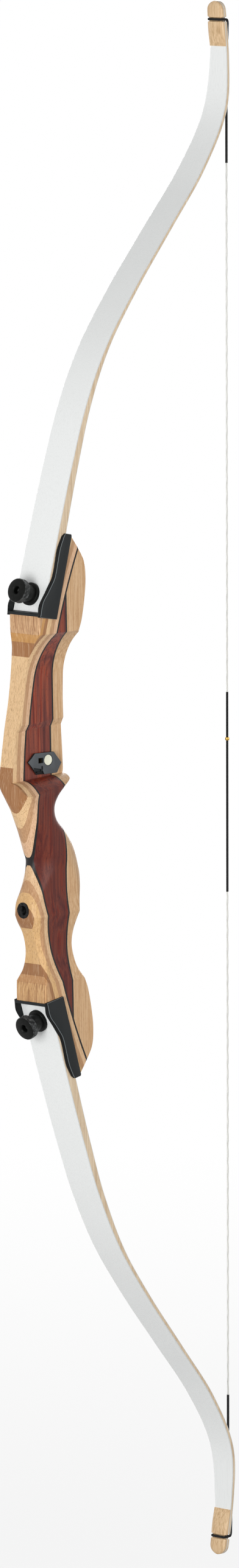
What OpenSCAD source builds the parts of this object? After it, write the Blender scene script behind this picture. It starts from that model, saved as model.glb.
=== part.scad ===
// Take-down recurve bow, strung. Millimetres.
// The origin is the middle of the grip. +Z runs up along the bow, +X toward the archer and
// -Y is the side of the sight window. The string hangs parallel to Z.
// The riser and the limbs are drawn in a frame that leans back a little from the string. There
// x = 0 is the middle of the front veneer at grip height, and z = 0 is the grip's middle.

/* [Bow] */
// Strung length from tip to tip
bow_length = 1545; // [1480:1:1620]
// From the string to the middle of the grip
string_x = 250; // [235:1:265]
// Lean of the riser away from the string, in degrees
riser_tilt = 1.15; // [0:0.05:2]
// How far the tips lean out of the two limbs' mean curve, up one way and down the other
tiller_bend = 14; // [0:0.5:16]

/* [Riser] */
// Radius of the curved front veneer
lamination_radius = 600; // [570:5:640]
// Thickness of both dark veneers
veneer_t = 2; // [1.5:0.1:2.6]
// Middle of the straight rear veneer behind the front veneer's lowest point
rear_veneer_x = 37.5; // [36:0.5:40]
// Depth of the sight window past the centre plane
window_depth = 4.2; // [3:0.1:6]
// Depth of the shallower window above the step
upper_window_depth = 0.5; // [0:0.1:2]
// Height of the arrow shelf where it meets the window
shelf_z = 28.5; // [26:0.5:31]
// Height of the ledge that the limb pocket stands on
ledge_z = 189.3; // [187:0.1:192]

/* [Limb] */
// Width of the limb in its pocket
limb_w = 41; // [38:0.5:41]
// Width of the limb's rounded tip
tip_w = 20; // [19:0.5:22]
// Slope of the limb's butt, in degrees
root_angle = 16.8; // [15:0.1:18]
// Thickness of each glass face
glass_t = 0.9; // [0.7:0.1:1.2]
// Thickness of each wood lamination at the butt
lamination_t = 1.9; // [1.6:0.1:2.2]
// Thickness of each wood lamination at the tip
tip_lamination_t = 0.9; // [0.8:0.1:1.2]
// Thickness of the wedge between the laminations at the butt
wedge_t = 7.2; // [6:0.1:8]
// Thickness of the wood overlay at the string nock
overlay_t = 4; // [3.5:0.1:5]

/* [Limb bolt] */
// Diameter of the knurled knob
knob_d = 24; // [22:0.5:26]
// Length of the knob along the bolt
knob_h = 7.8; // [6:0.1:9]
// Diameter of the neck under the knob
neck_d = 17; // [15:0.5:19]
// Length of the neck
neck_h = 10.2; // [8:0.1:12]
// Diameter of the washer
washer_d = 22.4; // [21:0.2:24]
// Thickness of the washer
washer_h = 3.5; // [2.5:0.1:4]
// Diameter of the bolt's thread
bolt_d = 8; // [7:0.5:9]

/* [Pocket] */
// Thickness of the pocket's base under the limb
base_t = 2; // [1.5:0.1:2.5]
// Thickness of the pocket's cheeks
cheek_t = 2.2; // [1.5:0.1:3]

/* [Fittings] */
// Outer diameter of the stabiliser bushing
stabiliser_d = 15.7; // [14:0.1:17]
// Thread bore of the stabiliser and plunger bushings
bushing_bore_d = 7.94; // [7.94:0.01:8]
// Thread bore of the sight inserts
sight_bore_d = 4.83; // [4.83:0.01:4.9]

/* [String] */
// Diameter of the bowstring
string_d = 1.8; // [1.6:0.1:2.2]
// Diameter of the served loops
loop_d = 2.6; // [2.4:0.1:3]
// Diameter of the centre serving
serving_d = 2.5; // [2.4:0.1:3]

/* [Hidden] */
$fn = 64;

wood_tone = [0.80, 0.66, 0.49];
core_tone = [0.43, 0.20, 0.18];
veneer_tone = [0.14, 0.14, 0.14];
glass_tone = [0.91, 0.92, 0.92];
black_tone = [0.13, 0.14, 0.14];
steel_tone = [0.62, 0.62, 0.63];
brass_tone = [0.75, 0.63, 0.31];

// Height of the middle of the grip's front veneer above the origin's x
grip_depth = 27;
// Room for a running fit, on the radius
fit = 0.05;
half_length = bow_length / 2;
// Longer than anything that it has to cut through
past = 400;

// The ends of the riser's straight sides, and the ridge below the grip
kink_z = 170.5;
ridge_z = -104.5;
riser_end_z = 264;

// Stations of the riser: height, front face, back face, near half width at the front and at
// the back, far half width, front corner's length and width, back corner's length and width,
// and how round the corners are, from a flat bevel at 1 to an ellipse at 2
END = [
    [170.5, 1.5, 56.2, 20.5, 20.5, 21.3, 1.2, 1.2, 2, 2, 1],
    [181, 0.5, 60.4, 20.5, 20.5, 20.6, 1.2, 1.2, 2, 2, 1],
    [204, 0.5, 65.1, 20.5, 20.5, 20.5, 1.2, 1.2, 2, 2, 1],
    [222, 0.5, 66.7, 20.5, 20.5, 20.5, 1.2, 1.2, 2, 2, 1],
    [238, 0.5, 64.7, 20.5, 20.5, 20.5, 1.2, 1.2, 2, 2, 1],
    [250, 0.5, 56.8, 20.5, 20.5, 20.5, 1.2, 1.2, 1, 1, 1],
    [264, 0.5, 46.6, 20.5, 20.5, 20.5, 1.2, 1.2, 1, 1, 1]];
WAIST = [
    [-170.5, 1.5, 56.2, 20.5, 20.5, 21.3, 1.2, 1.2, 2, 2, 1],
    [-159, 3.7, 50.8, 16.8, 16.8, 16.6, 3, 3, 3, 3, 1],
    [-146, 3.5, 48.2, 13.9, 13.9, 14, 4.5, 4.5, 3, 3, 1],
    [-135, 1.5, 47.3, 13.2, 13.2, 13, 5.5, 5.5, 3, 3, 1],
    [-122, -2, 48.9, 14, 14, 13.4, 6.5, 6.5, 3, 3, 1.2],
    [-111, -6.2, 51.6, 15.9, 15.9, 15.3, 8, 8, 3, 3, 1.8],
    [-104.5, -7.6, 54.5, 17.9, 17.3, 17, 9, 9, 4, 4, 2]];
GRIP = [
    [-104.5, -7.6, 54.5, 17.9, 17.3, 17, 9, 9, 4, 4, 2],
    [-93, -7.5, 57.6, 15.8, 15.4, 15.6, 9, 9, 6, 6, 2],
    [-81, -4.4, 61.2, 14.3, 14.3, 14, 12, 11, 10, 8, 2],
    [-69, -1.3, 63.2, 14, 14.3, 14.3, 20, 12.8, 15, 12, 2],
    [-60, 0.8, 62.4, 14.2, 14.5, 15.6, 28, 13.8, 19, 13.5, 2],
    [-51, 1.7, 60.4, 15.2, 15.2, 16.8, 34, 14.9, 23, 14.8, 2],
    [-44, -0.6, 57.6, 15.3, 15.3, 16.9, 33, 14.9, 22, 14.9, 2],
    [-36, -3.6, 53.4, 15.2, 15.2, 16.4, 31, 14.8, 22, 14.8, 2],
    [-24, -7.6, 44, 15, 15, 15.8, 25, 14.5, 17, 14.6, 2],
    [-12, -12, 33, 15.2, 15.2, 15.5, 20, 14.4, 15, 14.2, 2],
    [0, -16, 30, 15.4, 15.3, 16.1, 17, 13.6, 13, 13.4, 2],
    [10, -17.6, 34.5, 16.8, 15, 18, 11, 9, 12, 12, 2],
    [20, -17.6, 44.8, 20.4, 14, 22.5, 5, 5, 8, 8, 1.6],
    [29, -16.4, 52.6, 21, 15, 23.6, 2, 2, 5, 5, 1.2],
    [39, -14.2, 53.6, 21, 20, 23.6, 1.8, 1.8, 3, 3, 1],
    [75, -8.6, 52.1, 21, 21, 22.9, 1.8, 1.8, 2.5, 2.5, 1],
    [110, -1.2, 51.7, 21, 21, 22.9, 1.8, 1.8, 2.5, 2.5, 1],
    [155, 3.2, 54, 21, 21, 22, 1.8, 1.8, 2.5, 2.5, 1],
    [170.5, 1.5, 56.2, 20.5, 20.5, 21.3, 1.2, 1.2, 2, 2, 1]];

// Heights of the riser's rings: half as far apart round the grip
ring_step = riser_end_z / 24;
RINGS = concat([for (i = [-24 : -16]) i * ring_step], [-kink_z],
    [for (i = [-15 : -10]) i * ring_step], [for (i = [-19 : 6]) i * ring_step / 2],
    [for (i = [4 : 15]) i * ring_step], [kink_z], [for (i = [16 : 24]) i * ring_step]);
corner_steps = 4;

// A smooth curve through a list of [position, value] pairs
function span_of(p, z, i = 0) = i < len(p) - 2 && z > p[i + 1][0] ? span_of(p, z, i + 1) : i;
function slope(p, i) = let (a = max(i - 1, 0), b = min(i + 1, len(p) - 1))
    (p[b][1] - p[a][1]) / (p[b][0] - p[a][0]);
function curve(p, z) = let (i = span_of(p, z), d = p[i + 1][0] - p[i][0], t = (z - p[i][0]) / d)
    p[i][1] * (2 * pow(t, 3) - 3 * pow(t, 2) + 1) + p[i + 1][1] * (3 * pow(t, 2) - 2 * pow(t, 3))
    + d * slope(p, i) * (pow(t, 3) - 2 * pow(t, 2) + t)
    + d * slope(p, i + 1) * (pow(t, 3) - pow(t, 2));

// One column of the riser's stations at any height
function stations(z) = abs(z) >= kink_z ? END : z < ridge_z ? WAIST : GRIP;
function riser_at(z, column) =
    curve([for (row = stations(z)) [row[0], row[column]]], abs(z) >= kink_z ? abs(z) : z);
function far_half_width(z) = riser_at(z, 5);

// The riser's outline at one height, from the near front corner round by the archer's side
function riser_ring(z) =
    let (front = riser_at(z, 1), back = riser_at(z, 2), near_front = riser_at(z, 3),
         near_back = riser_at(z, 4), far = riser_at(z, 5), fl = riser_at(z, 6),
         fw = riser_at(z, 7), bl = riser_at(z, 8), bw = riser_at(z, 9),
         power = 2 / riser_at(z, 10),
         arc = [for (i = [0 : corner_steps]) let (a = 90 * i / corner_steps)
             [pow(cos(a), power), pow(sin(a), power)]])
    concat(
        [for (c = arc) [front + fl * (1 - c[0]), -near_front + fw * (1 - c[1]), z]],
        [for (c = arc) [back - bl * (1 - c[1]), -near_back + bw * (1 - c[0]), z]],
        [for (c = arc) [back - bl * (1 - c[0]), far - bw * (1 - c[1]), z]],
        [for (c = arc) [front + fl * (1 - c[1]), far - fw * (1 - c[0]), z]]);

// A solid skinned over rings that have the same number of points, the lowest ring first
module skin(rings) {
    n = len(rings[0]);
    top = n * (len(rings) - 1);
    polyhedron(
        points = [for (ring = rings) each ring],
        faces = concat(
            [[for (i = [0 : n - 1]) i]],
            [[for (i = [n - 1 : -1 : 0]) top + i]],
            [for (k = [0 : len(rings) - 2], i = [0 : n - 1])
                [k * n + i, (k + 1) * n + i, (k + 1) * n + (i + 1) % n]],
            [for (k = [0 : len(rings) - 2], i = [0 : n - 1])
                [k * n + i, (k + 1) * n + (i + 1) % n, k * n + (i + 1) % n]]));
}

// A shape drawn in X and Z, as thick as w across the bow
module across(w) {
    rotate([90, 0, 0]) linear_extrude(w, center = true) children();
}

// A shape drawn in Y and Z, run through the bow along X
module along_bow() {
    translate([-past / 2, 0, 0]) rotate([90, 0, 90]) linear_extrude(2 * past) children();
}

// From the leaning frame to the bow's own
module leaning() {
    rotate([0, -riser_tilt, 0]) translate([-grip_depth, 0, 0]) children();
}
function upright(p) =
    [(p[0] - grip_depth) * cos(riser_tilt) - p[2] * sin(riser_tilt), p[1],
     (p[0] - grip_depth) * sin(riser_tilt) + p[2] * cos(riser_tilt)];

// Both halves of the bow are drawn as the upper one
module end(side) {
    leaning() mirror([0, 0, side < 0 ? 1 : 0]) children();
}

// The limb's white front face, in the leaning frame, as a function of the distance from the grip.
// It starts along its bed's slope. BEND is how far it leaves that line at ten equal steps, as a
// part of what that line falls short of the string at the tip.
root_z = 225;
root_x = 15.9;
butt_z = ledge_z + 3.2;
BEND = [0, 0.003, 0.017, 0.056, 0.177, 0.422, 0.729, 1.033, 1.189, 1.077, 0.855];
// The string's place at the tips in the leaning frame, and the height that the lean adds there
string_reach = string_x + grip_depth;
tip_short_of_string = 14;
tip_rise = (string_x - tip_short_of_string) * sin(riser_tilt);
function tip_z(side) = (half_length - side * tip_rise) / cos(riser_tilt);
function part_way(z, side) = (z - root_z) / (tip_z(side) - root_z);
function bend(u) = curve([for (i = [0 : 10]) [i / 10, BEND[i]]], u);
function short_of_string(side) = string_reach - root_x - (tip_z(side) - root_z) * tan(root_angle);
flex_start_z = 400;
function flex(z) = tiller_bend * pow(max(0, z - flex_start_z) / 350, 1.5);
function face_x(z, side) = root_x + (z - root_z) * tan(root_angle)
    + (z < root_z ? 0 : short_of_string(side) * bend(part_way(z, side)) + side * flex(z));

// Thickness of the layers along X
wedge_end = 0.42;
function wedge_at(u) = wedge_t * max(0, 1 - u / wedge_end);
function lamination_at(u) = lamination_t
    - (lamination_t - tip_lamination_t) * max(0, u - wedge_end) / (1 - wedge_end);
// Distance from the white face to the start of each layer, from the front glass to the belly
function layer_at(i, u) = let (w = max(0, u)) i == 0 ? 0
    : i == 1 ? glass_t
    : i == 2 ? glass_t + lamination_at(w)
    : i == 3 ? glass_t + lamination_at(w) + wedge_at(w)
    : i == 4 ? glass_t + 2 * lamination_at(w) + wedge_at(w)
    : 2 * glass_t + 2 * lamination_at(w) + wedge_at(w);
butt_t = layer_at(5, 0);

limb_steps = 49;
overlay_steps = 4;
function limb_heights(side, last) = concat([butt_z],
    [for (i = [0 : limb_steps]) if (i / limb_steps < last + 0.001)
        root_z + (tip_z(side) - root_z) * i / limb_steps]);

// Half width of the limb, as a part of its width in the pocket, and then at the tip
WIDTHS = [[-0.1, 1], [0, 1], [0.14, 0.968], [0.27, 0.939], [0.41, 0.907], [0.55, 0.873],
    [0.68, 0.822], [0.82, 0.695]];
overlay_flare = 0.9;
nock_below_tip = 18;
nock_h = 4.8;
face_nock_h = 4.4;
// Half width between the floors of the two edge grooves
nock_floor_y = tip_w / 2 - 2.6;
round_h = 9;
function overlay_z(side) =
    root_z + (tip_z(side) - root_z) * (limb_steps - overlay_steps) / limb_steps;
module limb_outline(side) {
    tip = tip_z(side);
    half = concat(
        [for (row = WIDTHS) [limb_w / 2 * row[1], root_z + (tip - root_z) * row[0]]],
        [[tip_w / 2 + overlay_flare, overlay_z(side)]],
        [for (a = [0 : 15 : 90]) [tip_w / 2 * cos(a), tip - round_h + round_h * sin(a)]]);
    along_bow() intersection() {
        polygon(concat(half, [for (i = [len(half) - 1 : -1 : 0]) [-half[i][0], half[i][1]]]));
        translate([-limb_w, butt_z]) square([2 * limb_w, 2 * bow_length]);
    }
}

// The round grooves in both edges of the tip, and the one across the overlay's face
module nock_cut(side) {
    nock_z = tip_z(side) - nock_below_tip;
    for (y = [-1, 1]) translate([string_reach - 60, y * (nock_floor_y + nock_h / 2), nock_z])
        rotate([0, 90, 0]) cylinder(d = nock_h, h = 90);
    translate([face_x(nock_z, side) - overlay_t - 0.2, 0, nock_z]) rotate([90, 0, 0])
        cylinder(d = face_nock_h, h = 60, center = true);
}

// The limb bolt's frame: +Z points out of the limb's face
bolt_z = 208.7;
bolt_x = root_x - (root_z - bolt_z) * tan(root_angle);
pin_z = 243;
limb_depth = butt_t * cos(root_angle);
module bolt_frame() {
    translate([bolt_x, 0, bolt_z]) rotate([0, root_angle - 90, 0]) children();
}
module pin_frame() {
    translate([root_x + (pin_z - root_z) * tan(root_angle), 0, pin_z])
        rotate([0, root_angle - 90, 0]) children();
}
locating_pin_d = 6;
pin_in_limb = 7;
pin_in_riser = 8;
insert_d = 11;
insert_h = 14;
bolt_hole_d = bolt_d + 0.6;
module insert_cut() {
    translate([0, 0, -limb_depth - base_t - insert_h]) cylinder(d = insert_d, h = insert_h + 20);
}

// One layer of a limb, with the holes for its bolt and pin and the nock's grooves
module layer(side, i, last = 1) {
    heights = limb_heights(side, last);
    end(side) difference() {
        intersection() {
            across(limb_w + 10) polygon(concat(
                [for (z = heights)
                    [face_x(z, side) + layer_at(i, part_way(z, side)), z]],
                [for (k = [len(heights) - 1 : -1 : 0]) let (z = heights[k])
                    if (layer_at(i + 1, part_way(z, side)) - layer_at(i, part_way(z, side)) > 0.01)
                    [face_x(z, side) + layer_at(i + 1, part_way(z, side)), z]]));
            limb_outline(side);
        }
        bolt_frame() cylinder(d = bolt_hole_d, h = 100, center = true);
        if (i >= 2) pin_frame()
            translate([0, 0, -limb_depth - 1]) cylinder(d = locating_pin_d + 0.2, h = pin_in_limb + 1);
        if (last == 1) nock_cut(side);
    }
}
module back_glass(side) { color(glass_tone) layer(side, 0); }
module back_lamination(side) { color(wood_tone) layer(side, 1); }
module wedge(side) { color(wood_tone) layer(side, 2, wedge_end); }
module belly_lamination(side) { color(wood_tone) layer(side, 3); }
module belly_glass(side) { color(glass_tone) layer(side, 4); }

// The wood overlay on the tip's face: it grows out of the glass and carries the string nock
module tip_overlay(side) {
    tip = tip_z(side);
    low = overlay_z(side);
    heights = [for (z = limb_heights(side, 1)) if (z > low - 0.01) z];
    color(wood_tone) end(side) difference() {
        intersection() {
            across(limb_w) polygon(concat(
                [for (z = heights) [face_x(z, side), z]],
                [[face_x(tip, side) - overlay_t * 0.5, tip],
                 [face_x(tip - 5, side) - overlay_t * 0.9, tip - 5],
                 [face_x(tip - 12, side) - overlay_t, tip - 12],
                 [face_x(low + 14, side) - overlay_t * 0.9, low + 14],
                 [face_x(low, side) - overlay_t * 0.2, low]]));
            limb_outline(side);
        }
        nock_cut(side);
    }
}

// The riser's blank between two of its rings, without its window and beds
module blank(low, high) {
    skin([for (z = RINGS) if (z >= low && z <= high) riser_ring(z)]);
}

// Everything in front of the limb's bed: the limb, its pocket and the air over them
function bed_x(z) = root_x - (root_z - z) * tan(root_angle) + butt_t + base_t / cos(root_angle);
module bed_cut() {
    across(past) polygon([[-past, ledge_z], [bed_x(ledge_z), ledge_z],
        [bed_x(ledge_z + 150), ledge_z + 150], [-past, ledge_z + 150]]);
}

// The sight window with its sweep up to full width, its step and the crowned arrow shelf. The
// step and the shelf rise a little toward the archer.
window_top_z = 126;
window_sweep_r = 58.7;
step_z = 80;
step_h = 7;
shelf_angle = 3;
shelf_drop = 16.6;
shelf_w = 26;
outside_y = -60;
module upper_window_cut() {
    along_bow() polygon(concat([[upper_window_depth, step_z - 20], [upper_window_depth, window_top_z]],
        [for (a = [5 : 5 : 60]) [upper_window_depth - window_sweep_r * (1 - cos(a)),
            window_top_z + window_sweep_r * sin(a)]],
        [[outside_y, window_top_z + 60], [outside_y, step_z - 20]]));
}
module lower_window_cut() {
    step_rise = step_z - shelf_z;
    translate([grip_depth, 0, shelf_z]) rotate([0, -shelf_angle, 0]) along_bow() polygon(concat(
        [[2 * outside_y, step_rise + step_h / 2], [upper_window_depth - 0.1, step_rise + step_h / 2],
         [window_depth, step_rise - step_h / 2]],
        [for (i = [0 : 8]) [window_depth - shelf_w * i / 8, -shelf_drop * pow(i / 8, 2)]],
        [[2 * outside_y, -shelf_drop]]));
}

// Bushings in the riser: the stabiliser's from the front, the plunger's across the window and
// two sight inserts in the far side
stabiliser_z = -98.6;
stabiliser_face_x = -8.4;
stabiliser_h = 22;
plunger_x = 20.9;
plunger_z = 45.1;
plunger_d = 11;
plunger_far_y = far_half_width(plunger_z);
sight_x = 22;
sight_z = [133.3, 100];
sight_d = 8;
sight_h = 12;
module stabiliser_place() {
    translate([stabiliser_face_x, 0, stabiliser_z]) rotate([0, 90, 0]) children();
}
module plunger_place() {
    translate([plunger_x, window_depth, plunger_z]) rotate([-90, 0, 0]) children();
}
module sight_place(i) {
    translate([sight_x, far_half_width(sight_z[i]) - sight_h, sight_z[i]]) rotate([-90, 0, 0])
        children();
}
module pin_cut() {
    translate([0, 0, -limb_depth - base_t - pin_in_riser])
        cylinder(d = locating_pin_d, h = pin_in_riser + 20);
}

// A piece of the riser's blank, bounded by its children, with its window and arrow shelf cut
module windowed(low, high) {
    difference() {
        difference() {
            intersection() {
                blank(low, high);
                children();
            }
            if (high > 0) upper_window_cut();
        }
        if (high > 0) lower_window_cut();
    }
}

// The same with its limb beds and its holes cut
module riser_piece(low, high) {
    leaning() difference() {
        windowed(low, high) children();
        if (high > ledge_z) bed_cut();
        if (low < -ledge_z) mirror([0, 0, 1]) bed_cut();
        if (high > ledge_z) bolt_frame() insert_cut();
        if (low < -ledge_z) mirror([0, 0, 1]) bolt_frame() insert_cut();
        if (high > pin_z) pin_frame() pin_cut();
        if (low < -pin_z) mirror([0, 0, 1]) pin_frame() pin_cut();
        if (low < stabiliser_z) stabiliser_place() translate([0, 0, -20])
            cylinder(d = stabiliser_d, h = stabiliser_h + 20);
        if (high > sight_z[0]) plunger_place() translate([0, 0, -1])
            cylinder(d = plunger_d, h = 60);
        if (high > sight_z[0]) for (i = [0, 1]) sight_place(i) cylinder(d = sight_d, h = 60);
    }
}

// The space in front of the front veneer, the veneer itself and the space behind it
module veneer_disc(r) {
    translate([lamination_radius, 0, 0]) rotate([90, 0, 0])
        cylinder(r = r, h = past, center = true, $fn = 720);
}
module behind_veneer() { veneer_disc(lamination_radius - veneer_t / 2); }
module before_veneer() {
    difference() {
        translate([-past / 2, 0, 0]) cube([past * 1.2, past / 2, past * 2], center = true);
        veneer_disc(lamination_radius + veneer_t / 2);
    }
}
module slab(x1, x2) {
    translate([x1, -past / 4, -past]) cube([x2 - x1, past / 2, past * 2]);
}
// The front veneer comes through to the front of the grip at this ring
split_z = -49.5;
module front_block(side) {
    color(wood_tone)
        riser_piece(side > 0 ? split_z : -riser_end_z, side > 0 ? riser_end_z : split_z)
        before_veneer();
}
module front_veneer() {
    color(veneer_tone) riser_piece(-riser_end_z, riser_end_z) difference() {
        veneer_disc(lamination_radius + veneer_t / 2);
        veneer_disc(lamination_radius - veneer_t / 2);
    }
}
// Heights where the front veneer crosses the two faces of the rear one, and a ring past them
function veneer_height(x) = sqrt(pow(lamination_radius - veneer_t / 2, 2)
    - pow(lamination_radius - x, 2));
core_end_z = veneer_height(rear_veneer_x - veneer_t / 2) + ring_step;
rear_veneer_end_z = veneer_height(rear_veneer_x + veneer_t / 2) + ring_step;
module riser_core() {
    color(core_tone) riser_piece(-core_end_z, core_end_z) intersection() {
        behind_veneer();
        slab(-past / 4, rear_veneer_x - veneer_t / 2);
    }
}
module rear_piece(side, x1, x2, end_z) {
    riser_piece(side > 0 ? 0 : -end_z, side > 0 ? end_z : 0) intersection() {
        behind_veneer();
        slab(x1, x2);
    }
}
module rear_veneer(side) {
    color(veneer_tone)
        rear_piece(side, rear_veneer_x - veneer_t / 2, rear_veneer_x + veneer_t / 2,
            rear_veneer_end_z);
}
module rear_block(side) {
    color(wood_tone) rear_piece(side, rear_veneer_x + veneer_t / 2, past / 4, riser_end_z);
}

// Limb pocket: base plate on the riser's bed, end wall on its ledge and a cheek on each side. A
// cheek is two plates, and the outer one's front edge stands behind the inner one's.
cheek_in_y = 20.6;
cheek_out_y = cheek_in_y + cheek_t;
rim_y = cheek_in_y + 0.5 * cheek_t;
RIM = [[-1.2, 188.6], [-0.9, 192], [0, 199], [2.8, 204], [8.2, 211], [12.8, 217.5], [17.8, 224],
    [21, 232], [23.4, 241.5], [26.6, 253], [33, 264.5]];
RIM_STEP = [1.2, 1.6, 2.2, 1.6, 2, 2.1, 1.8, 1.5, 1.6, 1.8, 1];
CHEEK_BACK = [[36.6, 267], [44.4, 265.5], [44.9, 263.6], [22.7, 184.6]];
module cheek_plate(y1, y2, front) {
    translate([0, (y1 + y2) / 2, 0]) across(abs(y2 - y1)) polygon(concat(front, CHEEK_BACK));
}
module limb_pocket(side) {
    bed_t = base_t / cos(root_angle);
    color(black_tone) end(side) difference() {
        union() {
            across(2 * cheek_in_y) polygon([
                [bed_x(ledge_z), ledge_z], [bed_x(riser_end_z), riser_end_z],
                [bed_x(riser_end_z) - bed_t, riser_end_z],
                [bed_x(butt_z - 0.2) - bed_t, butt_z - 0.2],
                [RIM[0][0], butt_z - 0.2], [RIM[0][0], ledge_z]]);
            for (y = [-1, 1]) {
                cheek_plate(y * cheek_in_y, y * rim_y, RIM);
                cheek_plate(y * rim_y, y * cheek_out_y,
                    [for (i = [0 : len(RIM) - 1]) RIM[i] + [RIM_STEP[i], 0]]);
            }
        }
        bolt_frame() cylinder(d = bolt_hole_d, h = 100, center = true);
        pin_frame() cylinder(d = locating_pin_d, h = 60, center = true);
    }
}

// Limb bolt: hollow knurled knob, neck and shank. The knurl's own diamonds are fine trim.
knob_hole_d = 7;
knob_hole_h = 6;
module limb_bolt(side) {
    reach = limb_depth + base_t + insert_h - 1.5;
    r = knob_d / 2;
    color(black_tone) end(side) bolt_frame() difference() {
        union() {
            translate([0, 0, washer_h]) cylinder(d = neck_d, h = neck_h);
            translate([0, 0, washer_h + neck_h]) rotate_extrude($fn = 96) polygon([[0, 0],
                [r - 0.6, 0], [r, 0.6], [r, knob_h - 1], [r - 1, knob_h], [0, knob_h]]);
            translate([0, 0, -reach]) cylinder(d = bolt_d - 2 * fit, h = reach + washer_h + 1);
        }
        translate([0, 0, washer_h + neck_h + knob_h - knob_hole_h])
            cylinder(d = knob_hole_d, h = knob_hole_h + 1);
        translate([0, 0, washer_h + neck_h + knob_h - 1])
            cylinder(d1 = knob_hole_d, d2 = knob_hole_d + 2.2, h = 1.1);
    }
}
module bolt_washer(side) {
    r = washer_d / 2;
    color(black_tone) end(side) bolt_frame() difference() {
        rotate_extrude($fn = 96) polygon([[0, 0], [r, 0], [r, washer_h - 0.5],
            [r - 0.5, washer_h], [0, washer_h]]);
        cylinder(d = bolt_d + 0.2, h = 20, center = true);
    }
}
module bolt_insert(side) {
    color(brass_tone) end(side) bolt_frame() translate([0, 0, -limb_depth - base_t - insert_h])
        difference() {
            cylinder(d = insert_d, h = insert_h);
            cylinder(d = bolt_d, h = 3 * insert_h, center = true);
        }
}
module locating_pin(side) {
    color(steel_tone) end(side) pin_frame()
        translate([0, 0, -limb_depth - base_t - pin_in_riser])
        cylinder(d = locating_pin_d, h = pin_in_riser + base_t + pin_in_limb - 0.3);
}

// Threaded bushings, drawn with their bores at the thread's outer diameter
module bushing(d, bore, h) {
    difference() {
        cylinder(d = d, h = h);
        translate([0, 0, -1]) cylinder(d = bore, h = h + 2);
    }
}
module stabiliser_bushing() {
    color(steel_tone) leaning() stabiliser_place()
        bushing(stabiliser_d, bushing_bore_d, stabiliser_h);
}
module plunger_bushing() {
    color(brass_tone) leaning() plunger_place()
        bushing(plunger_d, bushing_bore_d, plunger_far_y - window_depth);
}
module sight_insert(i) {
    color(brass_tone) leaning() sight_place(i) bushing(sight_d, sight_bore_d, sight_h);
}

// Arrow rest: a six-sided plate on an adhesive pad, with a pale disc and a folding wire arm
PLATE = [[4.7, 44.7], [13.3, 52.7], [38.5, 52.1], [48.7, 40.5], [42.3, 31.1], [16, 31.5]];
pad_t = 0.8;
plate_t = 2.6;
recess_t = 1.8;
RECESS = [[11, 38.9], [22.1, 36.6], [25.8, 30.2], [14.9, 30]];
disc_x = 30.8;
disc_z = 44.7;
disc_d = 10.5;
arm_x = 22.4;
arm_z = [33, 40];
arm_d = 1.2;
module on_window(depth, h) {
    translate([0, window_depth - depth, 0]) rotate([90, 0, 0]) linear_extrude(h) children();
}
module rest_pad() {
    color(black_tone) leaning() difference() {
        on_window(0, pad_t) offset(delta = -1) polygon(PLATE);
        plunger_place() cylinder(d = plunger_d, h = 20, center = true);
    }
}
module rest_plate() {
    color(black_tone) leaning() difference() {
        on_window(pad_t, plate_t) polygon(PLATE);
        on_window(pad_t + plate_t - recess_t, plate_t) polygon(RECESS);
        translate([arm_x, window_depth - pad_t - plate_t + recess_t / 2, arm_z[0] - 0.2])
            cylinder(d = arm_d + 0.1, h = arm_z[1] - arm_z[0] + 0.4);
        on_window(0, plate_t + 2) translate([plunger_x - 3, plunger_z - 2.5]) square([6, 5]);
        on_window(pad_t + plate_t - 0.8, 5) translate([disc_x, disc_z]) circle(d = disc_d);
    }
}
module rest_disc() {
    color([0.84, 0.84, 0.76]) leaning() on_window(pad_t + plate_t - 0.8, 1)
        translate([disc_x, disc_z]) circle(d = disc_d);
}
// The wire arm turns about its upright end. It is folded flat into the recess.
arm_reach = 7.2;
module rest_arm() {
    y = window_depth - pad_t - plate_t + recess_t / 2;
    color(steel_tone) leaning() translate([arm_x, y, arm_z[0]]) {
        cylinder(d = arm_d, h = arm_z[1] - arm_z[0], $fn = 24);
        translate([0, 0, arm_d / 2 + 0.3]) rotate([0, -90, 0])
            cylinder(d = arm_d, h = arm_reach, $fn = 24);
    }
}

// Bowstring, its servings and the brass nocking point
split_below_tip = 84;
serving_from_tip = 159;
centre_serving_z = [-108, 91];
nocking_z = 43;
nocking_h = 3;
nocking_d = 4.4;
function nock_point(side, x, y, dz) = let (z = tip_z(side) - nock_below_tip + dz,
    p = upright([face_x(z, side) + x, y, side * z])) [p[0], p[1], p[2]];
string_end_z = half_length - split_below_tip;
string_in_serving = 1.5;
module bowstring() {
    reach = string_end_z - string_in_serving;
    color([0.88, 0.86, 0.80]) translate([string_x, 0, -reach])
        cylinder(d = string_d, h = 2 * reach);
}
module sleeve(d, low, high) {
    translate([string_x, 0, low]) difference() {
        cylinder(d = d, h = high - low);
        translate([0, 0, -1]) cylinder(d = string_d, h = high - low + 2);
    }
}
module centre_serving() { color(black_tone) sleeve(serving_d, centre_serving_z[0],
    centre_serving_z[1]); }
module nocking_point() {
    r = nocking_d / 2;
    color(brass_tone) translate([string_x, 0, nocking_z]) difference() {
        rotate_extrude() polygon([[0, 0], [r - 0.3, 0], [r, 0.4], [r, nocking_h - 0.4],
            [r - 0.3, nocking_h], [0, nocking_h]]);
        cylinder(d = serving_d, h = 20, center = true);
    }
}

// A round cord through a list of points
function unit(v) = v / norm(v);
function direction(p, i) = unit(p[min(i + 1, len(p) - 1)] - p[max(i - 1, 0)]);
module cord(p, d, sides = 10) {
    across_to = [for (i = [0 : len(p) - 1]) let (t = direction(p, i)) unit(cross(t, [0.3, 0.2, 1]))];
    skin([for (i = [0 : len(p) - 1]) let (t = direction(p, i), u = across_to[i], v = cross(t, u))
        [for (k = [0 : sides - 1]) let (a = 360 * k / sides)
            p[i] + (u * cos(a) + v * sin(a)) * d / 2]]);
}

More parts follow.
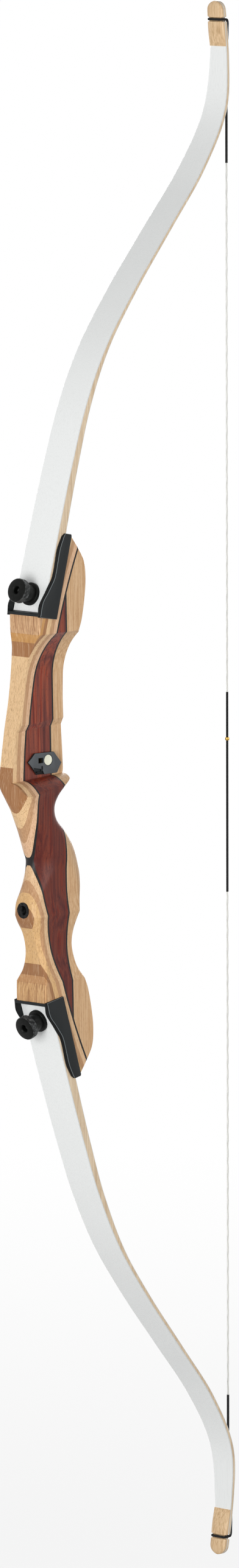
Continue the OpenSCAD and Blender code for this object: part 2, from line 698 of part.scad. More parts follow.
// One loop over the tip: through one edge groove, across the face and back through the other
module loop_serving(side) {
    r = loop_d / 2;
    edge_y = nock_floor_y + r + fit;
    front = -overlay_t + face_nock_h / 2 - r - 0.3;
    back = layer_at(5, 1) + r + 0.2;
    low_z = side > 0 ? half_length - serving_from_tip : -string_end_z;
    high_z = side > 0 ? string_end_z : serving_from_tip - half_length;
    color(black_tone) {
        sleeve(loop_d, low_z, high_z);
        for (y = [-1, 1]) cord([
            [string_x, y * 0.3, side * (string_end_z - 1)],
            [string_x - 0.2, y * 1.2, side * (string_end_z + 8)],
            nock_point(side, back + 1.2, y * 3.6, -44),
            nock_point(side, back + 0.6, y * 6.6, -22),
            nock_point(side, back + 0.4, y * 8.3, -8),
            nock_point(side, back + 0.3, y * 8.9, -3.4),
            nock_point(side, back - 0.7, y * (edge_y + 0.6), -0.8),
            nock_point(side, back - 2.2, y * (edge_y + 0.1), -0.2),
            nock_point(side, front + 3, y * edge_y, 0),
            nock_point(side, front + 0.9, y * (edge_y - 0.4), 0),
            nock_point(side, front, y * (edge_y - 1.8), 0),
            nock_point(side, front, 0, 0)], loop_d);
    }
}

front_block(1);  // upper_front_block
front_block(-1);  // lower_front_block
front_veneer();
riser_core();
rear_veneer(1);  // upper_rear_veneer
rear_veneer(-1);  // lower_rear_veneer
rear_block(1);  // upper_rear_block
rear_block(-1);  // lower_rear_block
limb_pocket(1);  // upper_limb_pocket
limb_pocket(-1);  // lower_limb_pocket
back_glass(1);  // upper_back_glass
back_lamination(1);  // upper_back_lamination
wedge(1);  // upper_wedge
belly_lamination(1);  // upper_belly_lamination
belly_glass(1);  // upper_belly_glass
tip_overlay(1);  // upper_tip_overlay
back_glass(-1);  // lower_back_glass
back_lamination(-1);  // lower_back_lamination
wedge(-1);  // lower_wedge
belly_lamination(-1);  // lower_belly_lamination
belly_glass(-1);  // lower_belly_glass
tip_overlay(-1);  // lower_tip_overlay
limb_bolt(1);  // upper_limb_bolt
limb_bolt(-1);  // lower_limb_bolt
bolt_washer(1);  // upper_bolt_washer
bolt_washer(-1);  // lower_bolt_washer
bolt_insert(1);  // upper_bolt_insert
bolt_insert(-1);  // lower_bolt_insert
locating_pin(1);  // upper_locating_pin
locating_pin(-1);  // lower_locating_pin
stabiliser_bushing();
plunger_bushing();
sight_insert(0);  // upper_sight_insert
sight_insert(1);  // lower_sight_insert
rest_pad();
rest_plate();
rest_disc();
rest_arm();
bowstring();
loop_serving(1);  // upper_loop_serving
loop_serving(-1);  // lower_loop_serving
centre_serving();
nocking_point();
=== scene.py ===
# The dressed model of a strung take-down recurve bow. Shapes are worked out in millimetres in
# the part's own frames, and each piece is turned into metres as it is made.
from functools import lru_cache
from itertools import takewhile
from math import cos, inf, pi, radians, sin, sqrt, tan

import bmesh
import bpy
from mathutils import Matrix, Vector

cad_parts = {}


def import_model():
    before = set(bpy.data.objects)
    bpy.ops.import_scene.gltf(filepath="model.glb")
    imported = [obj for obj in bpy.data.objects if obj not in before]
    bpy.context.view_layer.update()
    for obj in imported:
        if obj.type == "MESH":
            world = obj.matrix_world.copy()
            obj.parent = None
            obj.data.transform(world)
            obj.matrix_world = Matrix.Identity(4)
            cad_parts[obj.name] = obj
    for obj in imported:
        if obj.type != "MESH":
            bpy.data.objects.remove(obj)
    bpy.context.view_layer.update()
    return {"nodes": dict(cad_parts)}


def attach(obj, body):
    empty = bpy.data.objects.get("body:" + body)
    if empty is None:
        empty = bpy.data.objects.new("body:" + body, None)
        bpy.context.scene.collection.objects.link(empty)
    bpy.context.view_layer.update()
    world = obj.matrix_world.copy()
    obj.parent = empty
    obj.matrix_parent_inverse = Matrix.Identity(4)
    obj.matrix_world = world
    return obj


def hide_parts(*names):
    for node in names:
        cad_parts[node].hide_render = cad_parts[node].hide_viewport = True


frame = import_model()

MM = 0.001
TILT = radians(1.15)
GRIP_DEPTH = 27.0
STRING_X = 250.0
HALF_LENGTH = 772.5
RIDGE_Z, SHELF_Z = -104.5, 28.5
# The string's strands and the length of their lay, and the pitch of a serving's wraps
STRANDS, LAY, WRAP = 3, 16.0, 0.8

UPRIGHT = Matrix.Scale(MM, 4)
LEAN = UPRIGHT @ Matrix.Rotation(-TILT, 4, "Y") @ Matrix.Translation((-GRIP_DEPTH, 0, 0))
FLIP = Matrix.Diagonal((1, 1, -1, 1))
SIDES = {1: "upper", -1: "lower"}


def end(side):
    """The leaning frame of one half of the bow, drawn as the upper half."""
    return LEAN if side > 0 else LEAN @ FLIP


def turned(place, angle, axis, base=LEAN):
    """A frame at a place in another one, turned about one of its axes."""
    return base @ Matrix.Translation(place) @ Matrix.Rotation(angle, 4, axis)


# Materials

def rgb(r, g, b):
    """A colour as it shows, turned into the linear values that a shader takes."""
    return tuple(pow(max(c, 1) / 255, 2.2) for c in (r, g, b)) + (1.0,)


WHITE = (1, 1, 1, 1)


class Nodes:
    """A node tree and the few calls that build it."""

    def __init__(self, tree):
        self.tree = tree

    def fill(self, node, values):
        for key, value in values.items():
            if isinstance(value, bpy.types.NodeSocket):
                self.tree.links.new(value, node.inputs[key])
            else:
                node.inputs[key].default_value = value

    def node(self, kind, values=None, out=0, **props):
        made = self.tree.nodes.new("ShaderNode" + kind)
        for key, value in props.items():
            setattr(made, key, value)
        self.fill(made, values or {})
        return made.outputs[out]

    def maths(self, operation, a, b=0.0):
        return self.node("Math", {0: a, 1: b}, operation=operation)

    def spread(self, value, low, high):
        """0 below low, 1 above high."""
        return self.node("MapRange", {"Value": value, "From Min": low, "From Max": high},
                         clamp=True)

    def mix_shaders(self, factor, a, b, output):
        """The tree's last step: b where the factor is 1, and a where it is 0."""
        self.tree.links.new(self.node("MixShader", {0: factor, 1: a, 2: b}), output.inputs[0])


class Paint(Nodes):
    """A material on the principled shader."""

    def __init__(self, name, **shader):
        self.material = bpy.data.materials.new(name)
        self.material.use_nodes = True
        super().__init__(self.material.node_tree)
        self.shader = self.tree.nodes["Principled BSDF"]
        self.fill(self.shader, {k.replace("_", " "): v for k, v in shader.items()})

    def place(self, stretch=(1, 1, 1)):
        """The leaning frame's millimetres, stretched."""
        world = self.node("TexCoord", out="Object")
        lean = self.node("Mapping", {"Vector": world, "Location": (GRIP_DEPTH, 0, 0),
                                     "Rotation": (0, TILT, 0), "Scale": (1000, 1000, 1000)})
        return self.node("Mapping", {"Vector": lean, "Scale": stretch})

    def noise(self, vector, detail=2, distortion=0.0):
        return self.node("TexNoise", {"Vector": vector, "Scale": 1.0, "Detail": detail,
                                      "Distortion": distortion}, "Fac")

    def mix(self, factor, a, b, most=None):
        """a where the factor is 0, and b where it is 1, or only the share most of b."""
        factor = self.maths("MULTIPLY", factor, most) if most else factor
        return self.node("Mix", {0: factor, 6: a, 7: b}, 2, data_type="RGBA")

    def ramp(self, value, *stops):
        made = self.tree.nodes.new("ShaderNodeValToRGB")
        self.tree.links.new(value, made.inputs[0])
        elements = made.color_ramp.elements
        while len(elements) < len(stops):
            elements.new(0.5)
        for element, (position, colour) in zip(elements, stops):
            element.position, element.color = position, colour
        return made.outputs[0]

    def finish(self, colour, rough, bump=None):
        """Links the colour, the roughness (a socket, and the values where it is 0 and 1) and the
        bump (a socket, its height and strength)."""
        socket, low, high = rough
        rough = self.node("MapRange", {"Value": socket, "To Min": low, "To Max": high})
        self.fill(self.shader, {"Base Color": colour, "Roughness": rough})
        if bump:
            socket, height, strength = bump
            self.fill(self.shader, {"Normal": self.node("Bump", {
                "Height": socket, "Distance": height * MM, "Strength": strength})})
        return self.material


LAMINATION_R, VENEER_T = 600.0, 2.0
# The front blocks' plies, from the veneer outward: where each starts, and its tone above and
# below the grip
PLIES = [
    (0, (222, 182, 148), (220, 184, 144)),
    (4.5, (184, 142, 106), (182, 138, 100)),
    (9, (230, 194, 148), (216, 174, 120)),
    (14.2, (144, 92, 52), (134, 86, 50)),
    (17.9, (192, 139, 76), (180, 132, 88)),
    (21.4, (206, 164, 124), (206, 162, 112)),
    (26, (200, 158, 118), (200, 156, 108))]
PLIES_T, STREAKY_FROM = 32.0, 21.4


def plies(p):
    """The tone of the ply that a point lies in, and 1 in the streaky outermost plies. The
    plies run beside the curved veneer."""
    parts = p.node("SeparateXYZ", {0: p.place()}).node.outputs
    x, z = p.maths("SUBTRACT", parts["X"], LAMINATION_R), parts["Z"]
    radius = p.maths("SQRT", p.maths("ADD", p.maths("MULTIPLY", x, x),
                                     p.maths("MULTIPLY", z, z)))
    depth = p.maths("SUBTRACT", radius, LAMINATION_R + VENEER_T / 2)
    share = p.maths("DIVIDE", depth, PLIES_T)
    tones = []
    for half in (2, 1):
        tones.append(p.ramp(share, *((ply[0] / PLIES_T, rgb(*ply[half])) for ply in PLIES)))
        tones[-1].node.color_ramp.interpolation = "CONSTANT"
    tone = p.mix(p.maths("GREATER_THAN", z, RIDGE_Z / 2), *tones)
    return tone, p.maths("GREATER_THAN", depth, STREAKY_FROM)


def beech(name, layered):
    """Lacquered beech: long soft grain, short red-brown flecks and, in front, plies."""
    p = Paint(name, Specular_IOR_Level=0.25, Coat_Weight=0.06, Coat_Roughness=0.25)
    grain = p.noise(p.place((0.55, 0.55, 0.02)), 4, distortion=0.4)
    tone = p.ramp(grain, (0.32, rgb(186, 145, 104)), (0.5, rgb(203, 165, 124)),
                  (0.68, rgb(214, 180, 141)))
    streak = p.noise(p.place((0.9, 0.9, 0.022)), 4, distortion=0.3)
    lines = p.maths("MULTIPLY", p.spread(streak, 0.55, 0.72), 0.45 if layered else 0.22)
    if layered:
        layer, streaky = plies(p)
        tone = p.mix(0.2, layer, tone)
        dark = p.maths("MULTIPLY", p.spread(streak, 0.48, 0.62), 0.75)
        lines = p.maths("MAXIMUM", lines, p.maths("MULTIPLY", streaky, dark))
    tone = p.mix(lines, tone, rgb(136, 92, 62))
    tone = p.mix(p.spread(streak, 0.45, 0.3), tone, rgb(232, 204, 170), 0.3)
    slanted = p.node("Mapping", {"Vector": p.place(), "Rotation": (0.16, 0.16, 0),
                                 "Scale": (1.8, 1.8, 0.24)})
    fleck = p.spread(p.noise(slanted, 1), 0.55, 0.68)
    tone = p.mix(fleck, tone, rgb(158, 106, 68), 0.5 if layered else 0.3)
    return p.finish(tone, (grain, 0.34, 0.5), (p.maths("SUBTRACT", grain, fleck), 0.05, 0.5))


def red_core(name):
    """Dark red hardwood: brown and orange streaks and short black pores. The grip and everything
    below the shelf are darkened with painted shade.
    """
    p = Paint(name, Specular_IOR_Level=0.2, Coat_Weight=0.08, Coat_Roughness=0.2)
    broad = p.noise(p.place((0.15, 0.15, 0.006)), 3, distortion=0.8)
    tone = p.ramp(broad, (0.33, rgb(84, 38, 34)), (0.45, rgb(118, 60, 50)),
                  (0.55, rgb(144, 74, 54)), (0.63, rgb(138, 52, 32)), (0.72, rgb(98, 40, 33)))
    grain = p.noise(p.place((0.7, 0.7, 0.02)), 4, distortion=0.3)
    tone = p.mix(p.spread(grain, 0.46, 0.66), tone, rgb(78, 36, 34), 0.75)
    height = p.node("SeparateXYZ", {0: p.place()}).node.outputs["Z"]
    # Painted shade: below the shelf the core is darkened towards a deep red-brown, standing in for
    # the shelf's shadow
    under_shelf_shade = p.spread(height, SHELF_Z + 2, SHELF_Z - 10)
    tone = p.mix(under_shelf_shade, tone, rgb(72, 20, 13), 0.55)
    pores = p.spread(p.noise(p.place((1.7, 1.7, 0.4)), 1), 0.66, 0.72)
    tone = p.mix(pores, tone, rgb(34, 16, 16), 0.85)
    return p.finish(tone, (grain, 0.3, 0.48), (p.maths("SUBTRACT", 1.0, pores), 0.1, 0.7))


def limb_wood(name, dark, middle, pale):
    """Pale maple with a close grain along the limb."""
    p = Paint(name, Specular_IOR_Level=0.35, Coat_Weight=0.1, Coat_Roughness=0.25)
    grain = p.noise(p.place((0.9, 0.5, 0.02)), 4, distortion=0.5)
    tone = p.ramp(grain, (0.3, dark), (0.52, middle), (0.72, pale))
    fleck = p.spread(p.noise(p.place((1.6, 1.6, 0.2)), 2), 0.58, 0.74)
    tone = p.mix(fleck, tone, rgb(160, 118, 82), 0.4)
    return p.finish(tone, (grain, 0.36, 0.5), (grain, 0.05, 0.4))


def veneer(name):
    """Black dyed veneer with a faint grain."""
    p = Paint(name, Specular_IOR_Level=0.2, Coat_Weight=0.05, Coat_Roughness=0.25)
    grain = p.noise(p.place((1.2, 1.2, 0.03)), 3)
    tone = p.ramp(grain, (0.3, rgb(24, 23, 23)), (0.7, rgb(44, 42, 42)))
    return p.finish(tone, (grain, 0.35, 0.55))


def glass(name, pale):
    """White glass-fibre laminate under gloss lacquer, with its threads just visible."""
    p = Paint(name, Coat_Weight=0.4, Coat_Roughness=0.1)
    threads = p.noise(p.place((1.6, 2.2, 0.012)), 3)
    cloud = p.noise(p.place((0.03, 0.03, 0.01)), 2)
    light, dim = (rgb(level, level + 2, level + 1) for level in (pale, pale - 3))
    tone = p.ramp(threads, (0.3, dim), (0.7, light))
    return p.finish(p.mix(cloud, tone, dim, 0.4), (threads, 0.24, 0.32), (threads, 0.004, 0.1))


def moulded(name, tone, low, high):
    """Fine-grained black moulded plastic or foam."""
    p = Paint(name, Specular_IOR_Level=0.2)
    grain = p.noise(p.place((5, 5, 5)), 2)
    cloud = p.noise(p.place((0.12, 0.12, 0.12)), 3)
    light = [min(1, c * 1.5) for c in tone]
    return p.finish(p.mix(cloud, tone, light, 0.6), (cloud, low, high), (grain, 0.03, 0.5))


def metal(name, tone, wear_and_glint, low, high, metallic):
    """Turned metal: fine lathe marks, and a little wear in patches where hands touch it. On the
    knurl the lighter tones are also a painted highlight for its glints.
    """
    p = Paint(name, Metallic=metallic, Specular_IOR_Level=0.12)
    cloud = p.noise(p.place((0.35, 0.35, 0.35)), 4)
    fine = p.noise(p.place((3, 3, 3)), 2)
    tone = p.mix(p.spread(cloud, 0.42, 0.8), tone, wear_and_glint)
    return p.finish(tone, (fine, low, high), (fine, 0.012, 0.4))


def fibre(name, dark, light, strands, lay):
    """Thread wound or twisted about a line: stripes set by the turn and the way along."""
    p = Paint(name, Specular_IOR_Level=0.2)
    turn = p.node("Attribute", out="Fac", attribute_name="turn")
    along = p.node("Attribute", out="Fac", attribute_name="along")
    phase = p.maths("ADD", p.maths("MULTIPLY", turn, strands), p.maths("DIVIDE", along, lay))
    wave = p.maths("SINE", p.maths("MULTIPLY", phase, 2 * pi))
    stripe = p.spread(wave, -1, 0.8)
    fuzz = p.noise(p.place((2.5, 2.5, 1.2)), 3)
    tone = p.mix(fuzz, p.mix(stripe, dark, light), dark, 0.4)
    return p.finish(tone, (fuzz, 0.5, 0.75), (stripe, 0.06, 0.6))


PAINT = {
    "beech": beech("beech_front", True),
    "beech_rear": beech("beech_rear", False),
    "core_wood": red_core("red_core"),
    "dark_veneer": veneer("black_veneer"),
    "limb_wood": limb_wood("maple", rgb(192, 166, 134), rgb(216, 194, 164), rgb(228, 210, 184)),
    "tip_wood": limb_wood("tip_maple", rgb(190, 155, 114), rgb(218, 185, 144), rgb(228, 199, 161)),
    "limb_glass": glass("white_glass", 238),
    # Painted shade: a greyer copy of the white glass for the limbs' side edges
    "glass_edge_shade": glass("glass_edge_shade", 206),
    "string_fibre": fibre("string_fibre", rgb(196, 196, 190), rgb(234, 234, 229), STRANDS, LAY),
    "serving_thread": fibre("serving_thread", rgb(12, 11, 11), rgb(34, 33, 34), 1, WRAP),
}
# The tone, and how rough it is at its smoothest and roughest
for name, given in {
        # Two of these are painted light on the pocket cheeks: a near-black tone as painted shade
        # on the sloping rim, and a light grey as a painted highlight on its ridge
        "black_plastic": (rgb(27, 30, 31), 0.4, 0.55), "rim_painted_shade": (rgb(9, 9, 9), 0.3, 0.42),
        # A mid grey is painted light on the rest plate's front face, which the lamps light more
        # than its sides
        "ridge_painted_highlight": (rgb(96, 102, 104), 0.25, 0.4), "rest_face_painted_light": (rgb(78, 81, 84), 0.6, 0.75),
        "pale_plastic": (rgb(222, 222, 198), 0.3, 0.42),
        "foam": (rgb(38, 38, 38), 0.8, 0.95)}.items():
    PAINT[name] = moulded(name, *given)
# The tone, the tone of wear (on the knurl also a painted highlight), the two roughnesses and how
# metallic it is
for name, given in {
        "black_metal": (rgb(18, 19, 18), rgb(27, 28, 27), 0.32, 0.46, 0.1),
        # Painted highlight: the knurl's lighter tones stand in for glints on its ridges, besides
        # wear
        "knurl": (rgb(44, 45, 45), rgb(104, 106, 106), 0.2, 0.34, 0.6),
        "neck": (rgb(42, 43, 42), rgb(52, 53, 52), 0.32, 0.44, 0.35),
        "steel": (rgb(176, 176, 178), rgb(150, 150, 152), 0.22, 0.4, 1),
        "black_steel": (rgb(30, 31, 31), rgb(58, 58, 58), 0.16, 0.3, 0.5),
        "brass": (rgb(196, 160, 84), rgb(158, 122, 62), 0.2, 0.36, 1),
        # Painted shade: a dark brass for inside the bushings' bores and countersinks, where little
        # light reaches
        "brass_bore_shade": (rgb(52, 42, 26), rgb(30, 24, 16), 0.4, 0.6, 0.6)}.items():
    PAINT[name] = metal(name, *given)


# Mesh making

def add(name, data):
    """Puts a new object into the scene."""
    obj = bpy.data.objects.new(name, data)
    bpy.context.scene.collection.objects.link(obj)
    return obj


def shape(name, verts, faces, matrix=LEAN, merge=True, **fields):
    """A closed mesh object from points in one of the part's frames. Each field gives the points
    a value under its name."""
    mesh = bpy.data.meshes.new(name)
    mesh.from_pydata([matrix @ Vector(v) for v in verts], [], faces)
    for field, values in fields.items():
        mesh.attributes.new(field, "FLOAT", "POINT").data.foreach_set("value", values)
    weld(mesh, merge)
    return add(name, mesh)


def weld(mesh, merge=True):
    """Joins points that meet, and turns all faces outward."""
    bm = bmesh.new()
    bm.from_mesh(mesh)
    if merge:
        bmesh.ops.remove_doubles(bm, verts=bm.verts, dist=4e-6)
        bmesh.ops.dissolve_degenerate(bm, edges=bm.edges, dist=1e-6)
    bmesh.ops.recalc_face_normals(bm, faces=bm.faces)
    bm.to_mesh(mesh)
    bm.free()


def skin(rings, closed=False):
    """Points and faces over rings that have the same number of points. The first and last ring
    are capped, or joined."""
    n = len(rings[0])
    verts = [v for ring in rings for v in ring]
    faces = []
    for k in range(len(rings) - (0 if closed else 1)):
        a, b = k * n, (k + 1) % len(rings) * n
        faces += [(a + i, b + i, b + (i + 1) % n, a + (i + 1) % n) for i in range(n)]
    if not closed:
        faces += [tuple(range(n)), tuple(range(len(verts) - n, len(verts)))]
    return verts, faces


def join_shells(*shells):
    """Points and faces of several closed forms as one."""
    verts, faces = [], []
    for more_verts, more_faces in shells:
        start = len(verts)
        verts += more_verts
        faces += [tuple(start + i for i in face) for face in more_faces]
    return verts, faces


def modify(obj, kind, **settings):
    """Runs one modifier on the object's mesh."""
    modifier = obj.modifiers.new(kind, kind)
    for key, value in settings.items():
        setattr(modifier, key, value)
    graph = bpy.context.evaluated_depsgraph_get()
    mesh = bpy.data.meshes.new_from_object(obj.evaluated_get(graph))
    obj.modifiers.clear()
    obj.data = mesh


def cut(obj, *cutters):
    """Takes the cutters' forms out of the object."""
    for cutter in cutters:
        modify(obj, "BOOLEAN", operation="DIFFERENCE", solver="EXACT", object=cutter)
    weld(obj.data)


def dress(obj, paint, *nodes, body="bow", crease=32, more=(), chosen=None):
    """Gives the piece its material and smooth shading, and puts it in place of its nodes.
    chosen gives a face's paint: 0 for the first, and 1 or above for one of more."""
    obj.data.materials.clear()
    for name in (paint, *more):
        obj.data.materials.append(PAINT[name])
    if chosen:
        for face in obj.data.polygons:
            face.material_index = int(chosen(face))
    obj.data.shade_smooth()
    obj.data.set_sharp_from_angle(angle=radians(crease))
    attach(obj, body)
    if nodes:
        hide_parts(*nodes)


def prism(name, outline, low, high, matrix):
    """A cutter: an outline in the frame's X and Y, from low to high along its Z."""
    rings = [[(x, y, z) for x, y in outline] for z in (low, high)]
    return shape(name, *skin(rings), matrix)


def rectangle(x0, y0, x1, y1):
    return [(x0, y0), (x1, y0), (x1, y1), (x0, y1)]


def polar(r, turn, z):
    """The point at a radius, a part of a turn and a height."""
    return r * cos(2 * pi * turn), r * sin(2 * pi * turn), z


def hoop(r, z, n):
    return [polar(r, k / n, z) for k in range(n)]


def circle(d, n=48, centre=(0, 0)):
    return [(centre[0] + x, centre[1] + y) for x, y, _ in hoop(d / 2, 0, n)]


def drop(*objects):
    for obj in objects:
        bpy.data.objects.remove(obj)


def lathe(profile, n=72):
    """Points and faces of a closed outline of (radius, height) turned about Z."""
    rings = [[polar(r, k / n, z) for r, z in profile] for k in range(n)]
    return skin(rings, closed=True)


# The riser

KINK_Z, RISER_END_Z, LEDGE_Z = 170.5, 264.0, 189.3
REAR_VENEER_X = 37.5
# The carved form. Each row has a height, the front, the back, the near side's half width in
# front and behind, the far side's half width, the front corner's length and width, the back
# corner's length and width, and how round the corners are
KINK = (1.5, 56.2, 20.5, 20.5, 21.3, 1.2, 1.2, 2, 2, 1)
RIDGE = (-7.6, 54.5, 17.9, 17.3, 17, 9, 9, 4, 4, 2)
END = [(KINK_Z, *KINK)] + [
    (z, 0.5, back, 20.5, 20.5, far, 1.2, 1.2, corner, corner, 1) for z, back, far, corner in (
        (181, 60.4, 20.6, 2), (204, 65.1, 20.5, 2), (222, 66.7, 20.5, 2), (238, 64.7, 20.5, 2),
        (250, 56.8, 20.5, 1), (264, 46.6, 20.5, 1))]
WAIST = [
    (-KINK_Z, *KINK),
    (-159, 3.7, 50.8, 16.8, 16.8, 16.6, 3, 3, 3, 3, 1),
    (-146, 3.5, 48.2, 13.9, 13.9, 14, 4.5, 4.5, 3, 3, 1),
    (-135, 1.5, 47.3, 13.2, 13.2, 13, 5.5, 5.5, 3, 3, 1),
    (-122, -2, 48.9, 14, 14, 13.4, 6.5, 6.5, 3, 3, 1.2),
    (-111, -6.2, 51.6, 15.9, 15.9, 15.3, 8, 8, 3, 3, 1.8),
    (RIDGE_Z, *RIDGE)]
GRIP = [
    (RIDGE_Z, *RIDGE),
    (-93, -7.5, 57.6, 15.8, 15.4, 15.6, 9, 9, 6, 6, 2),
    (-81, -4.4, 61.2, 14.3, 14.3, 14, 12, 11, 10, 8, 2),
    (-69, -1.3, 63.2, 14, 14.3, 14.3, 20, 12.8, 15, 12, 2),
    (-60, 0.8, 62.4, 14.2, 14.5, 15.6, 28, 13.8, 19, 13.5, 2),
    (-51, 1.7, 60.4, 15.2, 15.2, 16.8, 34, 14.9, 23, 14.8, 2),
    (-44, -0.6, 57.6, 15.3, 15.3, 16.9, 33, 14.9, 22, 14.9, 2),
    (-36, -3.6, 53.4, 15.2, 15.2, 16.4, 31, 14.8, 22, 14.8, 2),
    (-24, -7.6, 44, 15, 15, 15.8, 25, 14.5, 17, 14.6, 2),
    (-12, -12, 33, 15.2, 15.2, 15.5, 20, 14.4, 15, 14.2, 2),
    (0, -16, 30, 15.4, 15.3, 16.1, 17, 13.6, 13, 13.4, 2),
    (10, -17.6, 34.5, 16.8, 15, 18, 11, 9, 12, 12, 2),
    (20, -17.6, 44.8, 20.4, 14, 22.5, 5, 5, 8, 8, 1.6),
    (29, -16.4, 52.6, 21, 15, 23.6, 2, 2, 5, 5, 1.2),
    (39, -14.2, 53.6, 21, 20, 23.6, 1.8, 1.8, 3, 3, 1),
    (75, -8.6, 52.1, 21, 21, 22.9, 1.8, 1.8, 2.5, 2.5, 1),
    (110, -1.2, 51.7, 21, 21, 22.9, 1.8, 1.8, 2.5, 2.5, 1),
    (155, 3.2, 54, 21, 21, 22, 1.8, 1.8, 2.5, 2.5, 1),
    (KINK_Z, *KINK)]


def curve(points, z):
    """A smooth curve through (position, value) pairs."""
    i = 0
    while i < len(points) - 2 and z > points[i + 1][0]:
        i += 1

    def slope(k):
        a, b = points[max(k - 1, 0)], points[min(k + 1, len(points) - 1)]
        return (b[1] - a[1]) / (b[0] - a[0])

    (z0, v0), (z1, v1) = points[i], points[i + 1]
    d = z1 - z0
    t = (z - z0) / d
    return (v0 * (2 * t ** 3 - 3 * t ** 2 + 1) + v1 * (3 * t ** 2 - 2 * t ** 3)
            + d * slope(i) * (t ** 3 - 2 * t ** 2 + t) + d * slope(i + 1) * (t ** 3 - t ** 2))


@lru_cache(None)
def row(z):
    """The riser's measures at one height."""
    table = END if abs(z) >= KINK_Z else WAIST if z < RIDGE_Z else GRIP
    at = abs(z) if table is END else z
    return [curve([(r[0], r[k]) for r in table], at) for k in range(1, 11)]


def side_y(z, x, near):
    """The riser's side at a height and depth: a bevelled or rounded corner at each end."""
    front, back, near_front, near_back, far, fl, fw, bl, bw, power = row(z)
    a, b = (near_front, near_back) if near else (far, far)

    def corner(t, width):
        return width * (1 - (1 - (1 - min(1, max(0, t))) ** power) ** (1 / power))

    if x < front + fl:
        y = a - corner((x - front) / fl, fw)
    elif x > back - bl:
        y = b - corner((back - x) / bl, bw)
    else:
        y = a + (b - a) * (x - front - fl) / (back - bl - front - fl)
    return -y if near else y


def riser_ring(z, low, high):
    """The riser's outline at one height between two depths."""
    front, back, _, _, _, fl, _, bl, _, power = row(z)
    arc = [pi / 2 * i / 8 for i in range(9)]
    xs = [front + fl * (1 - cos(a) ** (2 / power)) for a in arc[:-1]]
    xs += [front + fl + (back - bl - front - fl) * i / 6 for i in range(7)]
    xs += [back - bl * (1 - sin(a) ** (2 / power)) for a in arc[1:]]
    xs = [min(max(x, low), high) for x in xs]
    return ([(x, side_y(z, x, True), z) for x in xs]
            + [(x, side_y(z, x, False), z) for x in reversed(xs)])


ROOT_Z, ROOT_X, ROOT_ANGLE = 225.0, 15.9, radians(16.8)
GLASS_T, LAMINATION_T, TIP_LAMINATION_T, WEDGE_T, WEDGE_END = 0.9, 1.9, 0.9, 7.2, 0.42
BASE_T = 2.0
BUTT_T = 2 * GLASS_T + 2 * LAMINATION_T + WEDGE_T


def bed_x(z):
    """The riser's bed under the limb pocket."""
    return ROOT_X - (ROOT_Z - z) * tan(ROOT_ANGLE) + BUTT_T + BASE_T / cos(ROOT_ANGLE)


def arc_x(z, offset):
    """The curved veneer's faces: 1 in front of its middle and -1 behind it."""
    return LAMINATION_R - sqrt((LAMINATION_R + offset) ** 2 - z * z)


# The heights of the riser's outlines, and whether the bed is the front there. Each ledge has an
# outline on either side of it
HEIGHTS = sorted([(2.2 * i, 2.2 * abs(i) > LEDGE_Z) for i in range(-120, 121)]
                 + [(z, False) for z in (KINK_Z, -KINK_Z, RIDGE_Z)]
                 + [(z, on_bed) for z in (-LEDGE_Z, LEDGE_Z) for on_bed in (True, False)],
                 key=lambda h: (h[0], h[1] == (h[0] > 0)))
# A layer ends where it is thinner than this
THIN = 0.04


def riser_block(name, start, stop, inside_z):
    """One layer of the riser's blank: what lies between two depths, about one height."""
    def limits(z, on_bed):
        front = bed_x(abs(z)) if on_bed else row(z)[0]
        return max(start(z), front), min(stop(z), row(z)[1])

    def thick(z, on_bed):
        low, high = limits(z, on_bed)
        return high - low > THIN

    def reach(heights):
        """The heights at which the layer is thick, and the one where that ends."""
        used = list(takewhile(lambda height: thick(*height), heights))
        if len(used) < len(heights):
            good, (bad, on_bed) = used[-1][0], heights[len(used)]
            for _ in range(24):
                z = (good + bad) / 2
                good, bad = (z, bad) if thick(z, on_bed) else (good, z)
            used.append((good, on_bed))
        return used

    middle = min(range(len(HEIGHTS)), key=lambda i: abs(HEIGHTS[i][0] - inside_z))
    order = reach(HEIGHTS[middle::-1])[::-1] + reach(HEIGHTS[middle:])[1:]
    return shape(name, *skin([riser_ring(z, *limits(z, on_bed)) for z, on_bed in order]))


# The window is cut in two goes, as in the part: the wall above the step with its sweep up, and
# the wall below the step with the crowned arrow shelf
WINDOW_DEPTH, UPPER_WINDOW_DEPTH, WINDOW_TOP_Z, SWEEP_R = 4.2, 0.5, 126.0, 58.7
STEP_Z, STEP_H, SHELF_ANGLE, SHELF_DROP, SHELF_W = 80.0, 7.0, 3.0, 16.6, 26.0
ALONG_X = Matrix(((0, 0, 1, 0), (1, 0, 0, 0), (0, 1, 0, 0), (0, 0, 0, 1)))
THROUGH = (-150, 250)
step = STEP_Z - SHELF_Z
upper_window = prism(
    "upper_window",
    [(UPPER_WINDOW_DEPTH, STEP_Z - 20)]
    + [(UPPER_WINDOW_DEPTH - SWEEP_R * (1 - cos(radians(a))),
        WINDOW_TOP_Z + SWEEP_R * sin(radians(a))) for a in range(0, 61, 2)]
    + [(-60, WINDOW_TOP_Z + 60), (-60, STEP_Z - 20)], *THROUGH, LEAN @ ALONG_X)
lower_window = prism(
    "lower_window",
    [(-120, step + STEP_H / 2), (UPPER_WINDOW_DEPTH - 0.1, step + STEP_H / 2),
     (WINDOW_DEPTH, step - STEP_H / 2)]
    + [(WINDOW_DEPTH - SHELF_W * i / 24, -SHELF_DROP * (i / 24) ** 2) for i in range(25)]
    + [(-120, -SHELF_DROP)], *THROUGH,
    turned((GRIP_DEPTH, 0, SHELF_Z), radians(-SHELF_ANGLE), "Y") @ ALONG_X)
windows = [upper_window, lower_window]

